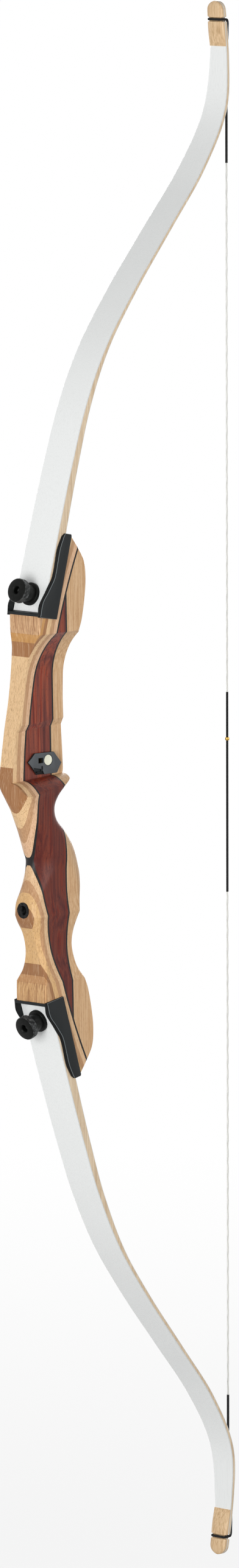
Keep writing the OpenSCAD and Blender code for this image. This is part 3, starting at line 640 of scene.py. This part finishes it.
STABILISER = (-8.4, 0, -98.6)
STABILISER_D, STABILISER_H = 15.7, 22.0
PLUNGER = (20.9, WINDOW_DEPTH, 45.1)
PLUNGER_D, SIGHT_D, SIGHT_H, BORE_D, SIGHT_BORE_D = 11.0, 8.0, 12.0, 7.94, 4.83
SIGHTS = {"upper": 133.3, "lower": 100.0}
SIGHT_X = 22.0
stabiliser_place = turned(STABILISER, pi / 2, "Y")
plunger_place = turned(PLUNGER, -pi / 2, "X")
plunger_h = row(PLUNGER[2])[4] - WINDOW_DEPTH


def sight_place(z):
    return turned((SIGHT_X, row(z)[4] - SIGHT_H, z), -pi / 2, "X")


stabiliser_hole = prism("stabiliser_hole", circle(STABILISER_D, 64), -20, STABILISER_H,
                        stabiliser_place)
side_holes = [prism("plunger_hole", circle(PLUNGER_D), -1, 60, plunger_place)] + [
    prism("sight_hole", circle(SIGHT_D), 0, 60, sight_place(z)) for z in SIGHTS.values()]

# The window's step bends by 28 degrees and has crisp edges
RISER_CREASE = 22
REAR_LOW_X, REAR_HIGH_X = REAR_VENEER_X - VENEER_T / 2, REAR_VENEER_X + VENEER_T / 2


def before(z):
    return arc_x(z, VENEER_T / 2)


def behind(z):
    return arc_x(z, -VENEER_T / 2)


def riser_layer(name, start, stop, inside_z, paint, node, cutters):
    block = riser_block(name, start, stop, inside_z)
    cut(block, *cutters)
    dress(block, paint, node, crease=RISER_CREASE)


for side, name in SIDES.items():
    cutters = windows if side > 0 else []
    riser_layer(f"{name}_front_beech", lambda z: -100, before, 100 if side > 0 else -150,
                "beech", f"{name}_front_block", cutters or [stabiliser_hole])
    riser_layer(f"{name}_rear_line", lambda z: max(REAR_LOW_X, behind(z)), lambda z: REAR_HIGH_X,
                100 * side, "dark_veneer", f"{name}_rear_veneer", cutters)
    riser_layer(f"{name}_rear_beech", lambda z: max(REAR_HIGH_X, behind(z)), lambda z: 100,
                100 * side, "beech_rear", f"{name}_rear_block", cutters)
riser_layer("front_line", before, behind, 0, "dark_veneer", "front_veneer",
            [*windows, stabiliser_hole])
riser_layer("core", behind, lambda z: REAR_LOW_X, 0, "core_wood", "riser_core",
            [*windows, stabiliser_hole, *side_holes])
drop(*windows, stabiliser_hole, *side_holes)


# The limbs

TIP_SHORT_OF_STRING = 14.0
TIP_RISE = (STRING_X - TIP_SHORT_OF_STRING) * sin(TILT)
STRING_REACH = STRING_X + GRIP_DEPTH
BUTT_Z = LEDGE_Z + 3.2
BEND = list(enumerate([0, 0.003, 0.017, 0.056, 0.177, 0.422, 0.729, 1.033, 1.189, 1.077, 0.855]))
TILLER_BEND, FLEX_START_Z, FLEX_SPAN = 14.0, 400.0, 350.0
LIMB_W, TIP_W, ROUND_H = 41.0, 20.0, 9.0
OVERLAY_T, OVERLAY_FLARE, OVERLAY_START = 4.0, 0.9, 45 / 49
NOCK_BELOW_TIP, NOCK_D, FACE_NOCK_D = 18.0, 4.8, 4.4
# Half width between the floors of the nock's two side grooves
NOCK_FLOOR_Y = TIP_W / 2 - 2.6
WIDTHS = [(-0.1, 1), (0, 1), (0.14, 0.968), (0.27, 0.939), (0.41, 0.907), (0.55, 0.873),
          (0.68, 0.822), (0.82, 0.695)]


def tip_z(side):
    return (HALF_LENGTH - side * TIP_RISE) / cos(TILT)


def overlay_z(side):
    return ROOT_Z + (tip_z(side) - ROOT_Z) * OVERLAY_START


def part_way(z, side):
    return (z - ROOT_Z) / (tip_z(side) - ROOT_Z)


def face_x(z, side):
    """The limb's white front face."""
    x = ROOT_X + (z - ROOT_Z) * tan(ROOT_ANGLE)
    if z > ROOT_Z:
        short = STRING_REACH - ROOT_X - (tip_z(side) - ROOT_Z) * tan(ROOT_ANGLE)
        x += short * curve(BEND, part_way(z, side) * 10)
        x += side * TILLER_BEND * (max(0, z - FLEX_START_Z) / FLEX_SPAN) ** 1.5
    return x


def layer_at(i, u):
    """From the white face to the start of layer i."""
    u = max(0, u)
    lamination = LAMINATION_T - (LAMINATION_T - TIP_LAMINATION_T) * max(0, u - WEDGE_END) / (
        1 - WEDGE_END)
    wedge = WEDGE_T * max(0, 1 - u / WEDGE_END)
    return sum([GLASS_T, lamination, wedge, lamination, GLASS_T][:i])


def half_width(z, side):
    """Half the limb's width, with the nock's grooves and the rounded end."""
    tip = tip_z(side)
    points = [(ROOT_Z + (tip - ROOT_Z) * u, LIMB_W / 2 * w) for u, w in WIDTHS]
    points += [(overlay_z(side), TIP_W / 2 + OVERLAY_FLARE), (tip - ROUND_H, TIP_W / 2)]
    if z > tip - ROUND_H:
        w = TIP_W / 2 * sqrt(max(0, 1 - ((z - tip + ROUND_H) / ROUND_H) ** 2))
    else:
        i = max(k for k in range(len(points) - 1) if k == 0 or points[k][0] <= z)
        (z0, w0), (z1, w1) = points[i], points[i + 1]
        w = w0 + (w1 - w0) * (z - z0) / (z1 - z0)
    off = z - tip + NOCK_BELOW_TIP
    if abs(off) < NOCK_D / 2:
        w = min(w, NOCK_FLOOR_Y + NOCK_D / 2 - sqrt((NOCK_D / 2) ** 2 - off * off))
    return w


def limb_heights(side, low, high):
    """Stations along the limb: close together at the nock and the rounded end."""
    tip = tip_z(side)
    nock = tip - NOCK_BELOW_TIP
    zs = [BUTT_Z + 6 * i for i in range(90)] + [tip - 44 + i for i in range(35)]
    zs += [nock + NOCK_D / 2 * sin(pi * i / 20) for i in range(-10, 11)]
    zs += [tip - ROUND_H + ROUND_H * sin(pi / 2 * i / 12) for i in range(13)]
    return sorted({round(z, 3) for z in zs if low < z < high} | {low, high})


BOLT_Z = 208.7
BOLT_X = ROOT_X - (ROOT_Z - BOLT_Z) * tan(ROOT_ANGLE)
BOLT_D, BOLT_HOLE_D, WASHER_D, WASHER_H, NECK_D, NECK_H = 8.0, 8.6, 22.4, 3.5, 17.0, 10.2
KNOB_D, KNOB_H, KNOB_HOLE_D, KNOB_HOLE_H, INSERT_H = 24.0, 7.8, 7.0, 6.0, 14.0
LIMB_DEPTH = BUTT_T * cos(ROOT_ANGLE)


def bolt_frame(side):
    return turned((BOLT_X, 0, BOLT_Z), ROOT_ANGLE - pi / 2, "Y", end(side))


def bolt_hole(side):
    return prism("bolt_hole", circle(BOLT_HOLE_D), -50, 50, bolt_frame(side))


LAYERS = ["back_glass", "back_lamination", "wedge", "belly_lamination", "belly_glass"]
GLASS_EASE, WEDGE_STOP = 0.45, WEDGE_END - 0.003


def layer_rings(side, i, high):
    """The outlines of one of the limb's layers. The limb's outer edges are eased."""
    front_ease, back_ease = (GLASS_EASE if i == outer else 0 for outer in (0, 4))
    rings = []
    for z in limb_heights(side, BUTT_Z, high):
        w = half_width(z, side)
        a, b = (face_x(z, side) + layer_at(k, part_way(z, side)) for k in (i, i + 1))
        ring = [(a, w - front_ease), (a + front_ease, w), (b - back_ease, w), (b, w - back_ease)]
        rings.append([(x, max(y, 0), z) for x, y in ring]
                     + [(x, -max(y, 0), z) for x, y in reversed(ring)])
    return rings


def overlay_rings(side):
    """The outlines of the tip's overlay: a crowned front with the nock's groove across it."""
    low, tip = overlay_z(side), tip_z(side)
    span = tip - low
    thickness = [(0, 0.2), (14, 0.9), (span - 12, 1), (span - 5, 0.9), (span, 0.5)]
    rings = []
    for z in limb_heights(side, low, tip):
        w, face = half_width(z, side), face_x(z, side)
        t = OVERLAY_T * curve(thickness, z - low)
        off = z - tip + NOCK_BELOW_TIP
        groove = inf
        if abs(off) < FACE_NOCK_D / 2:
            groove = OVERLAY_T + 0.2 - sqrt((FACE_NOCK_D / 2) ** 2 - off * off)
        ring = []
        for k in range(-8, 9):
            s = sin(pi / 2 * k / 8)
            ring.append((face - min(t * (1 - 0.38 * s ** 4), groove), w * s, z))
        rings.append(ring + [(face, w, z), (face, -w, z)])
    return rings


for side, name in SIDES.items():
    tip, hole = tip_z(side), bolt_hole(side)
    for i, layer in enumerate(LAYERS):
        high = ROOT_Z + (tip - ROOT_Z) * WEDGE_STOP if layer == "wedge" else tip
        piece = shape(f"{name}_limb_{layer}", *skin(layer_rings(side, i, high)), end(side))
        cut(piece, hole)
        if "glass" in layer:
            # The glass's side faces take the greyer copy as painted shade
            dress(piece, "limb_glass", f"{name}_{layer}", more=["glass_edge_shade"],
                  chosen=lambda face: abs(face.normal.y) > 0.5)
        else:
            dress(piece, "limb_wood", f"{name}_{layer}")
    drop(hole)
    overlay = shape(f"{name}_tip_wood", *skin(overlay_rings(side)), end(side))
    dress(overlay, "tip_wood", f"{name}_tip_overlay", crease=40)


# The limb pockets: cheeks with a bevelled rim, the bed's plate and the end wall

RIM = [(188.6, -1.2), (192, -0.9), (199, 0), (204, 2.8), (211, 8.2), (217.5, 12.8), (224, 17.8),
       (232, 21), (241.5, 23.4), (253, 26.6), (264.5, 33)]
FACE_STEP = [1.8, 2.4, 3.2, 2.6, 3.0, 3.2, 2.7, 2.3, 2.4, 2.5, 1.5]
FACE = [(z, x + s) for (z, x), s in zip(RIM, FACE_STEP)]
CHEEK_BACK = [(36.6, 267), (44.4, 265.5), (44.9, 263.6), (22.7, 184.6)]
CHEEK_IN_Y = 20.6
CHEEK_OUT_Y = CHEEK_IN_Y + 2.2


def cheek(sign):
    """A cheek's shell: a ring of its outline at each distance from the middle."""
    low, high = RIM[0][0], RIM[-1][0]
    zs = [low + (high - low) * i / 44 for i in range(45)]
    inner = [(curve(RIM, z), z) for z in zs] + CHEEK_BACK
    outer = [(curve(FACE, z), z) for z in zs] + CHEEK_BACK

    def inset(points, d):
        made = []
        for k, (x, z) in enumerate(points):
            (x0, z0), (x1, z1) = points[k - 1], points[(k + 1) % len(points)]
            along = Vector((x1 - x0, z1 - z0)).normalized()
            made.append((x + along.y * d, z - along.x * d))
        return made

    rings = [(CHEEK_IN_Y, inner), (CHEEK_IN_Y + 0.65, inner),
             (CHEEK_IN_Y + 0.9, inset(inner, 0.2)), (CHEEK_OUT_Y - 0.35, inset(outer, -0.05)),
             (CHEEK_OUT_Y - 0.1, inset(outer, 0.12)), (CHEEK_OUT_Y, inset(outer, 0.4))]
    return skin([[(x, sign * y, z) for x, z in ring] for y, ring in rings])


def pocket_base():
    """The plate on the bed and the wall on the ledge, with the wall's lip rounded."""
    bed_t = BASE_T / cos(ROOT_ANGLE)
    wall_top, lip = BUTT_Z - 0.2, RIM[0][1]
    outline = [(bed_x(LEDGE_Z), LEDGE_Z), (bed_x(RISER_END_Z), RISER_END_Z),
               (bed_x(RISER_END_Z) - bed_t, RISER_END_Z), (bed_x(wall_top) - bed_t, wall_top),
               (lip + 1, wall_top), (lip + 0.4, wall_top - 0.15), (lip + 0.1, wall_top - 0.5),
               (lip, wall_top - 1), (lip, LEDGE_Z + 0.4), (lip + 0.3, LEDGE_Z)]
    ys = (-CHEEK_IN_Y - 0.1, CHEEK_IN_Y + 0.1)
    return skin([[(x, y, z) for x, z in outline] for y in ys])


def rim_paint(face):
    """The cheek's sloping rim is painted darker than its flat as shade, and its ridge gets a
    painted highlight.
    """
    y = abs(face.center.y) / MM
    if face.normal.x > 0 or y < CHEEK_IN_Y + 0.5 or abs(face.normal.z) > 0.95:
        return 0
    return 0 if y > CHEEK_OUT_Y - 0.03 else 2 if y > CHEEK_OUT_Y - 0.3 else 1


for side, name in SIDES.items():
    base = shape("pocket_base", *pocket_base(), end(side))
    hole = bolt_hole(side)
    cut(base, hole)
    drop(hole)
    pocket = shape(f"{name}_pocket", *join_shells(cheek(1), cheek(-1)), end(side))
    whole = bmesh.new()
    for part in (pocket, base):
        whole.from_mesh(part.data)
    whole.to_mesh(pocket.data)
    whole.free()
    drop(base)
    # The rim's near-black tone is painted shade and the ridge's light grey line a painted
    # highlight
    dress(pocket, "black_plastic", f"{name}_limb_pocket", crease=38,
          more=["rim_painted_shade", "ridge_painted_highlight"], chosen=rim_paint)


# Limb bolts: a knurled knob with a bore, its neck and a threaded shank, and a loose washer

def saw(s):
    """0 half way between whole numbers and 1 at them."""
    return abs(2 * (s % 1) - 1)


def knob_shell():
    """The bolt's head and neck: two sets of slanting grooves cross in the knurled band."""
    low = WASHER_H + NECK_H
    top, r, neck, n = low + KNOB_H, KNOB_D / 2, NECK_D / 2, 240
    hole, floor = KNOB_HOLE_D / 2, top - KNOB_HOLE_H
    starts, pitch, depth = 40, 1.9, 0.5
    band = [low + 0.7 + (KNOB_H - 1.8) * i / 26 for i in range(27)]
    rings = []
    for k in range(n):
        turn = k / n
        knurl = [(r - 0.02 - depth * max(saw(turn * starts + (z - low) / pitch),
                                         saw(turn * starts - (z - low) / pitch)), z)
                 for z in band]
        profile = ([(0, WASHER_H), (neck - 0.3, WASHER_H), (neck, WASHER_H + 0.3),
                    (neck, low - 0.5), (neck + 0.4, low - 0.02), (r - 1, low),
                    (r - 0.5, low + 0.3)] + knurl
                   + [(r - 0.5, top - 0.8), (r - 1, top - 0.12), (r - 1.3, top),
                      (hole + 1.15, top), (hole + 0.1, top - 0.9), (hole, top - 1.15),
                      (hole, floor + 0.4), (hole - 0.4, floor), (0, floor - 1)])
        rings.append([polar(x, turn, z) for x, z in profile])
    return skin(rings, closed=True)


def thread(r, depth, pitch, low, high, n, in_bore=False):
    """Rings up a screw thread cut into a shank, where it fades at both ends, or up the crests
    in a bore."""
    rings, steps = [], max(8, int((high - low) / pitch * 6))
    for i in range(steps + 1):
        z = low + (high - low) * i / steps
        fade = 1 if in_bore else min(1, i / 6, (steps - i) / 6)
        rings.append([polar(r - depth * fade * saw(z / pitch - k / n), k / n, z)
                      for k in range(n)])
    return rings


def shank_shell():
    reach, r, n = LIMB_DEPTH + BASE_T + INSERT_H - 1.5, BOLT_D / 2 - 0.05, 32
    return skin([hoop(0.78 * r, -reach, n)] + thread(r, 0.62, 1.25, -reach + 0.8, -1.0, n)
                + [hoop(r, -0.8, n), hoop(r, WASHER_H + 0.5, n)])


def bolt_paint(place):
    """Picks the knurled band and the neck out of the bolt's faces."""
    flat = place.inverted()

    def chosen(face):
        at = flat @ face.center
        if at.xy.length > KNOB_D / 2 - 0.75:
            return 1
        return 2 if at.xy.length > NECK_D / 2 - 0.7 and at.z < WASHER_H + NECK_H else 0

    return chosen


for side, name in SIDES.items():
    place = bolt_frame(side)
    bolt = shape(f"{name}_knob", *join_shells(knob_shell(), shank_shell()), place)
    # The knurled band's lighter paint is partly a painted highlight for its glints
    dress(bolt, "black_metal", f"{name}_limb_bolt", body=f"{name}_bolt", crease=28,
          more=["knurl", "neck"], chosen=bolt_paint(place))
    r, bore, h = WASHER_D / 2, BOLT_D / 2 + 0.1, WASHER_H
    washer = shape(f"{name}_washer_ring", *lathe(
        [(bore, 0.3), (bore + 0.3, 0), (r - 0.3, 0), (r, 0.3), (r, h - 0.6), (r - 0.15, h - 0.25),
         (r - 0.5, h), (bore + 0.3, h), (bore, h - 0.3)], 96), place)
    dress(washer, "black_metal", f"{name}_bolt_washer", body=f"{name}_washer", crease=40)


# Threaded bushings

def bushing(name, place, d, bore, h, near_cone, far_cone):
    """A sleeve with a countersunk thread in its bore."""
    n, pitch, deep, ease = 48, 1.058, 0.42, 0.15
    inside = thread(bore / 2, deep, pitch, near_cone, h - far_cone, n, in_bore=True)
    rings = ([hoop(d / 2, ease, n), hoop(d / 2, h - ease, n), hoop(d / 2 - ease, h, n),
              hoop(bore / 2 + far_cone * 0.6, h, n)] + inside[::-1]
             + [hoop(bore / 2 + near_cone * 0.6, 0, n), hoop(d / 2 - ease, 0, n)])
    return shape(name, *skin(rings, closed=True), place)


def brass_bushing(name, node, place, d, bore, *others):
    """A brass one, with painted shade in its bore and countersink."""
    flat = place.inverted()

    def inside(face):
        at = flat @ face.center
        return at.xy.length < bore / 2 + 0.1 or at.z < 1

    socket = bushing(name, place, d, bore, *others)
    dress(socket, "brass", node, crease=40, more=["brass_bore_shade"], chosen=inside)


socket = bushing("stabiliser_socket", stabiliser_place, STABILISER_D, BORE_D, STABILISER_H, 1.4,
                 0.5)
dress(socket, "black_steel", "stabiliser_bushing", crease=40)
brass_bushing("plunger_socket", "plunger_bushing", plunger_place, PLUNGER_D, BORE_D, plunger_h,
              0.8, 0.8)
for name, z in SIGHTS.items():
    brass_bushing(f"{name}_sight_socket", f"{name}_sight_insert", sight_place(z), SIGHT_D,
                  SIGHT_BORE_D, SIGHT_H, 0.4, 0.7)


# The arrow rest

REST = turned((0, WINDOW_DEPTH, 0), pi / 2, "X")
PLATE = [(4.7, 44.7), (13.3, 52.7), (38.5, 52.1), (48.7, 40.5), (42.3, 31.1), (16, 31.5)]
RECESS = [(11, 38.9), (22.1, 36.6), (25.8, 30.2), (14.9, 30)]
PAD_T, PLATE_T, RECESS_T = 0.8, 2.6, 1.8
DISC, DISC_D, DISC_T = (30.8, 44.7), 10.5, 0.8
ARM_X, ARM_Z, ARM_D, ARM_REACH = 22.4, (33.0, 40.0), 1.2, 7.2
top = PAD_T + PLATE_T
RECESS_Y = WINDOW_DEPTH - top + RECESS_T
# What comes off the plate's left part: a little, and more at its outer edge
SLOPE = [(23.6, top + 2), (23.6, top), (21.8, top - 0.35), (9.5, top - 0.55), (3.5, top - 1.9),
         (0, top - 1.9), (0, top + 2)]
plate = prism("rest_body", PLATE, PAD_T, top, REST)
px, pz = PLUNGER[0], PLUNGER[2]
cutters = [
    shape("slope", *skin([[(x, z, h) for x, h in SLOPE] for z in (20, 60)]), REST),
    prism("recess", RECESS, top - RECESS_T, top + 3, REST),
    prism("key_hole", rectangle(px - 3, pz - 2.5, px + 3, pz + 2.5), -1, 9, REST),
    prism("disc_seat", circle(DISC_D + 0.9, 64, DISC), top - DISC_T, 9, REST),
    prism("arm_slot", rectangle(ARM_X - 0.8, 35.8, ARM_X + 0.8, 39.6), top - RECESS_T, 9,
          REST)]
cut(plate, *cutters)
drop(*cutters)
modify(plate, "BEVEL", width=0.22 * MM, segments=2, limit_method="ANGLE",
       angle_limit=radians(34))
# Painted light: the plate's front face takes a lighter grey than its black sides
dress(plate, "black_plastic", "rest_plate", more=["rest_face_painted_light"],
      chosen=lambda face: face.normal.y < -0.9 and face.center.y / MM < RECESS_Y - 0.4)
r = DISC_D / 2 - 0.15
disc = shape("rest_button", *lathe([(0, 0), (r, 0), (r, 0.55), (r - 0.1, 0.75), (r - 0.4, DISC_T),
                                    (r - 0.9, 0.74), (0, 0.74)]),
             REST @ Matrix.Translation((*DISC, top - DISC_T)))
dress(disc, "pale_plastic", "rest_disc", crease=50)


# Cords: a round section carried along a smooth line

def smooth_path(points, spacing):
    """Points spacing apart on a smooth line through the given ones."""
    points = [Vector(p) for p in points]
    ends = [points[0], *points, points[-1]]
    fine = []
    for p0, p1, p2, p3 in zip(ends, ends[1:], ends[2:], ends[3:]):
        for k in range(40):
            t = k / 40
            fine.append(0.5 * (2 * p1 + (p2 - p0) * t + (2 * p0 - 5 * p1 + 4 * p2 - p3) * t * t
                               + (3 * p1 - p0 - 3 * p2 + p3) * t ** 3))
    fine.append(points[-1])
    made, gone = [fine[0]], 0.0
    for a, b in zip(fine, fine[1:]):
        gone += (b - a).length
        if gone >= spacing:
            made.append(b)
            gone = 0.0
    return made + [points[-1]]


def cord(name, path, radius, matrix=UPRIGHT, sides=14):
    """radius gives the section's radius from the part of a turn and the distance along. Each
    point keeps both, for the thread's paint."""
    rings, turns, ways = [], [], []
    across, along = None, 0.0
    for i, p in enumerate(path):
        ahead = (path[min(i + 1, len(path) - 1)] - path[max(i - 1, 0)]).normalized()
        if across is None:
            across = ahead.orthogonal().normalized()
        else:
            along += (p - path[i - 1]).length
            across = (across - ahead * across.dot(ahead)).normalized()
        up = ahead.cross(across)
        ring = []
        for k in range(sides):
            turn = k / sides
            r = radius(turn, along)
            a = 2 * pi * turn
            ring.append(tuple(p + (across * cos(a) + up * sin(a)) * r))
            turns.append(turn)
            ways.append(along)
        rings.append(ring)
    return shape(name, *skin(rings), matrix, merge=False, turn=turns, along=ways)


ay = RECESS_Y - RECESS_T / 2
foot = ARM_Z[0] + ARM_D / 2 + 0.3
arm_path = smooth_path([(ARM_X - out, ay, z) for out, z in (
    (0, ARM_Z[1]), (0, 38), (0, foot + 0.9), (0.25, foot + 0.25), (0.9, foot), (3, foot),
    (ARM_REACH, foot))], 0.35)
arm = cord("arm_wire", arm_path, lambda t, a: ARM_D / 2 - 0.01, LEAN, 16)
dress(arm, "black_steel", "rest_arm", body="arm", crease=50)

STRING_D, LOOP_D, SERVING_D = 1.8, 2.6, 2.5
SPLIT_Z, SERVED_Z = HALF_LENGTH - 84, HALF_LENGTH - 159
CENTRE_SERVING = (-108, 91)
NOCKING_Z, NOCKING_H, NOCKING_D, NOCKING_SLIT = 43.0, 3.0, 4.36, 16 / 360


def straight(low, high, spacing):
    n = max(2, int((high - low) / spacing))
    return [Vector((STRING_X, 0, low + (high - low) * i / n)) for i in range(n + 1)]


def strands(turn, along):
    return STRING_D / 2 * (0.88 + 0.12 * cos(2 * pi * (STRANDS * turn + along / LAY)))


def wraps(d):
    return lambda turn, along: d / 2 - 0.09 * saw(along / WRAP + turn)


string = cord("string_strands", straight(1.5 - SPLIT_Z, SPLIT_Z - 1.5, 1.6), strands)
dress(string, "string_fibre", "bowstring", crease=60)
serving = cord("centre_wraps", straight(*CENTRE_SERVING, WRAP / 4), wraps(SERVING_D))
dress(serving, "serving_thread", "centre_serving", crease=60)


def on_nock(side, x, y, dz):
    """A point near the nock, in the upright frame."""
    z = tip_z(side) - NOCK_BELOW_TIP + dz
    return tuple(end(side) @ Vector((face_x(z, side) + x, y, z)) / MM)


def loop_path(side):
    """Up one edge of the limb's belly, round the nock's grooves and down the other edge."""
    r = LOOP_D / 2
    edge = NOCK_FLOOR_Y + r + 0.05
    front = -OVERLAY_T + FACE_NOCK_D / 2 - r - 0.3
    back = layer_at(5, 1) + r + 0.2
    way = [(back + 1.2, 3.6, -44), (back + 0.6, 6.6, -22), (back + 0.4, 8.3, -8),
           (back + 0.3, 8.9, -3.4), (back - 0.7, edge + 0.6, -0.8), (back - 2.2, edge + 0.1, -0.2),
           (front + 3, edge, 0), (front + 0.9, edge - 0.4, 0), (front, edge - 1.8, 0),
           (front, 0, 0)]
    up, down = ([(STRING_X, y * 0.3, side * (SPLIT_Z - 1)),
                 (STRING_X - 0.2, y * 1.2, side * (SPLIT_Z + 8))]
                + [on_nock(side, x, y * out, dz) for x, out, dz in way] for y in (1, -1))
    return smooth_path(up + down[-2::-1], WRAP / 4)


for side, name in SIDES.items():
    loop = cord(f"{name}_loop", loop_path(side), wraps(LOOP_D))
    low, high = sorted((side * SPLIT_Z, side * SERVED_Z))
    end_wraps = cord(f"{name}_end_wraps", straight(low, high, WRAP / 4), wraps(LOOP_D))
    dress(loop, "serving_thread", f"{name}_loop_serving", crease=60)
    dress(end_wraps, "serving_thread", crease=60)

# Brass nocking point: a ring crimped round the serving, with its slit away from the archer
rings = []
for k in range(61):
    turn = (NOCKING_SLIT + 1) / 2 + (1 - NOCKING_SLIT) * k / 60
    r = NOCKING_D / 2 - 0.14 * abs(sin(3 * pi * (turn - 0.5)))
    inner = SERVING_D / 2 + 0.02
    outline = [(inner, 0.2), (inner + 0.25, 0), (r - 0.35, 0), (r, 0.4), (r, NOCKING_H - 0.4),
               (r - 0.35, NOCKING_H), (inner + 0.25, NOCKING_H), (inner, NOCKING_H - 0.2)]
    rings.append([polar(x, turn, z) for x, z in outline])
ring = shape("nock_ring", *skin(rings), UPRIGHT @ Matrix.Translation((STRING_X, 0, NOCKING_Z)))
dress(ring, "brass", "nocking_point", crease=45)

# The hidden fittings keep their own solids
KEPT = {"rest_pad": "foam", "upper_bolt_insert": "brass", "lower_bolt_insert": "brass",
        "upper_locating_pin": "steel", "lower_locating_pin": "steel"}
for name, paint in KEPT.items():
    materials = frame["nodes"][name].data.materials
    materials.clear()
    materials.append(PAINT[paint])


# Camera, light and floor

AIM = Vector((0.0996, 0, 0.0127))
AZIMUTH, ELEVATION, ROLL = radians(-45), radians(7.02), radians(-0.147)
DISTANCE, LENS = 10.0, 234.7
back = Vector((sin(AZIMUTH) * cos(ELEVATION), -cos(AZIMUTH) * cos(ELEVATION), sin(ELEVATION)))
data = bpy.data.cameras.new("camera")
data.sensor_width, data.sensor_height, data.lens = 36, 36, LENS
data.clip_end = 10 * DISTANCE
camera = add("camera", data)
camera.matrix_world = (Matrix.Translation(AIM + back * DISTANCE)
                       @ (-back).to_track_quat("-Z", "Y").to_matrix().to_4x4()
                       @ Matrix.Rotation(ROLL, 4, "Z"))
bpy.context.scene.camera = camera
bpy.context.scene.view_settings.view_transform = "Standard"


def lamp(name, place, size, watts):
    """A square lamp that faces the bow's middle."""
    light = bpy.data.lights.new(name, "AREA")
    light.size, light.energy = size, watts
    obj = add(name, light)
    obj.location = place
    obj.rotation_mode = "QUATERNION"
    obj.rotation_quaternion = Vector(place).to_track_quat("Z", "Y")


lamp("key", (-2.9, -1.1, 0.15), 1.5, 67)
lamp("fill", (0.6, -3.0, 0.5), 1.8, 31)
lamp("rear", (2.4, 2.0, 0.9), 2.0, 62)

# Camera, glossy and transmitted rays see plain white. The light comes more from the sides than
# from straight above and below
AMBIENT_SIDE, AMBIENT_POLE = 0.7, 0.05
world = bpy.data.worlds.new("studio")
bpy.context.scene.world = world
world.use_nodes = True
w = Nodes(world.node_tree)
w.tree.nodes.clear()
rays = w.node("LightPath").node.outputs
seen = w.maths("MAXIMUM", rays["Is Camera Ray"], rays["Is Glossy Ray"])
seen = w.maths("MAXIMUM", seen, rays["Is Transmission Ray"])
steep = w.maths("ABSOLUTE", w.node("SeparateXYZ", {0: w.node("TexCoord", out="Generated")}, "Z"))
strength = w.node("MapRange", {"Value": steep, "To Min": AMBIENT_SIDE, "To Max": AMBIENT_POLE})
w.mix_shaders(seen, w.node("Background", {"Color": WHITE, "Strength": strength}),
              w.node("Background", {"Color": WHITE}), w.tree.nodes.new("ShaderNodeOutputWorld"))

# A pale floor that fades into the white background away from the bow
FLOOR_Z, FLOOR_R, FLOOR_TONE, FLOOR_GLOW, FADE = -0.80, 6.0, 0.4, 0.85, (0.9, 3.0)
floor = shape("floor", hoop(FLOOR_R, FLOOR_Z, 48), [tuple(range(48))], Matrix.Identity(4))
p = Paint("floor", Base_Color=(FLOOR_TONE, FLOOR_TONE, FLOOR_TONE, 1), Roughness=0.9)
rays = p.node("LightPath").node.outputs
away = p.node("VectorMath", {0: p.node("TexCoord", out="Object")}, "Value", operation="LENGTH")
share = p.node("MapRange", {"Value": away, "From Min": FADE[0], "From Max": FADE[1],
                            "To Min": FLOOR_GLOW}, clamp=True)
seen = p.maths("MAXIMUM", rays["Is Camera Ray"], rays["Is Glossy Ray"])
p.mix_shaders(p.maths("MULTIPLY", seen, share), p.shader.outputs[0],
              p.node("Emission", {"Color": WHITE}), p.tree.nodes["Material Output"])
floor.data.materials.append(p.material)
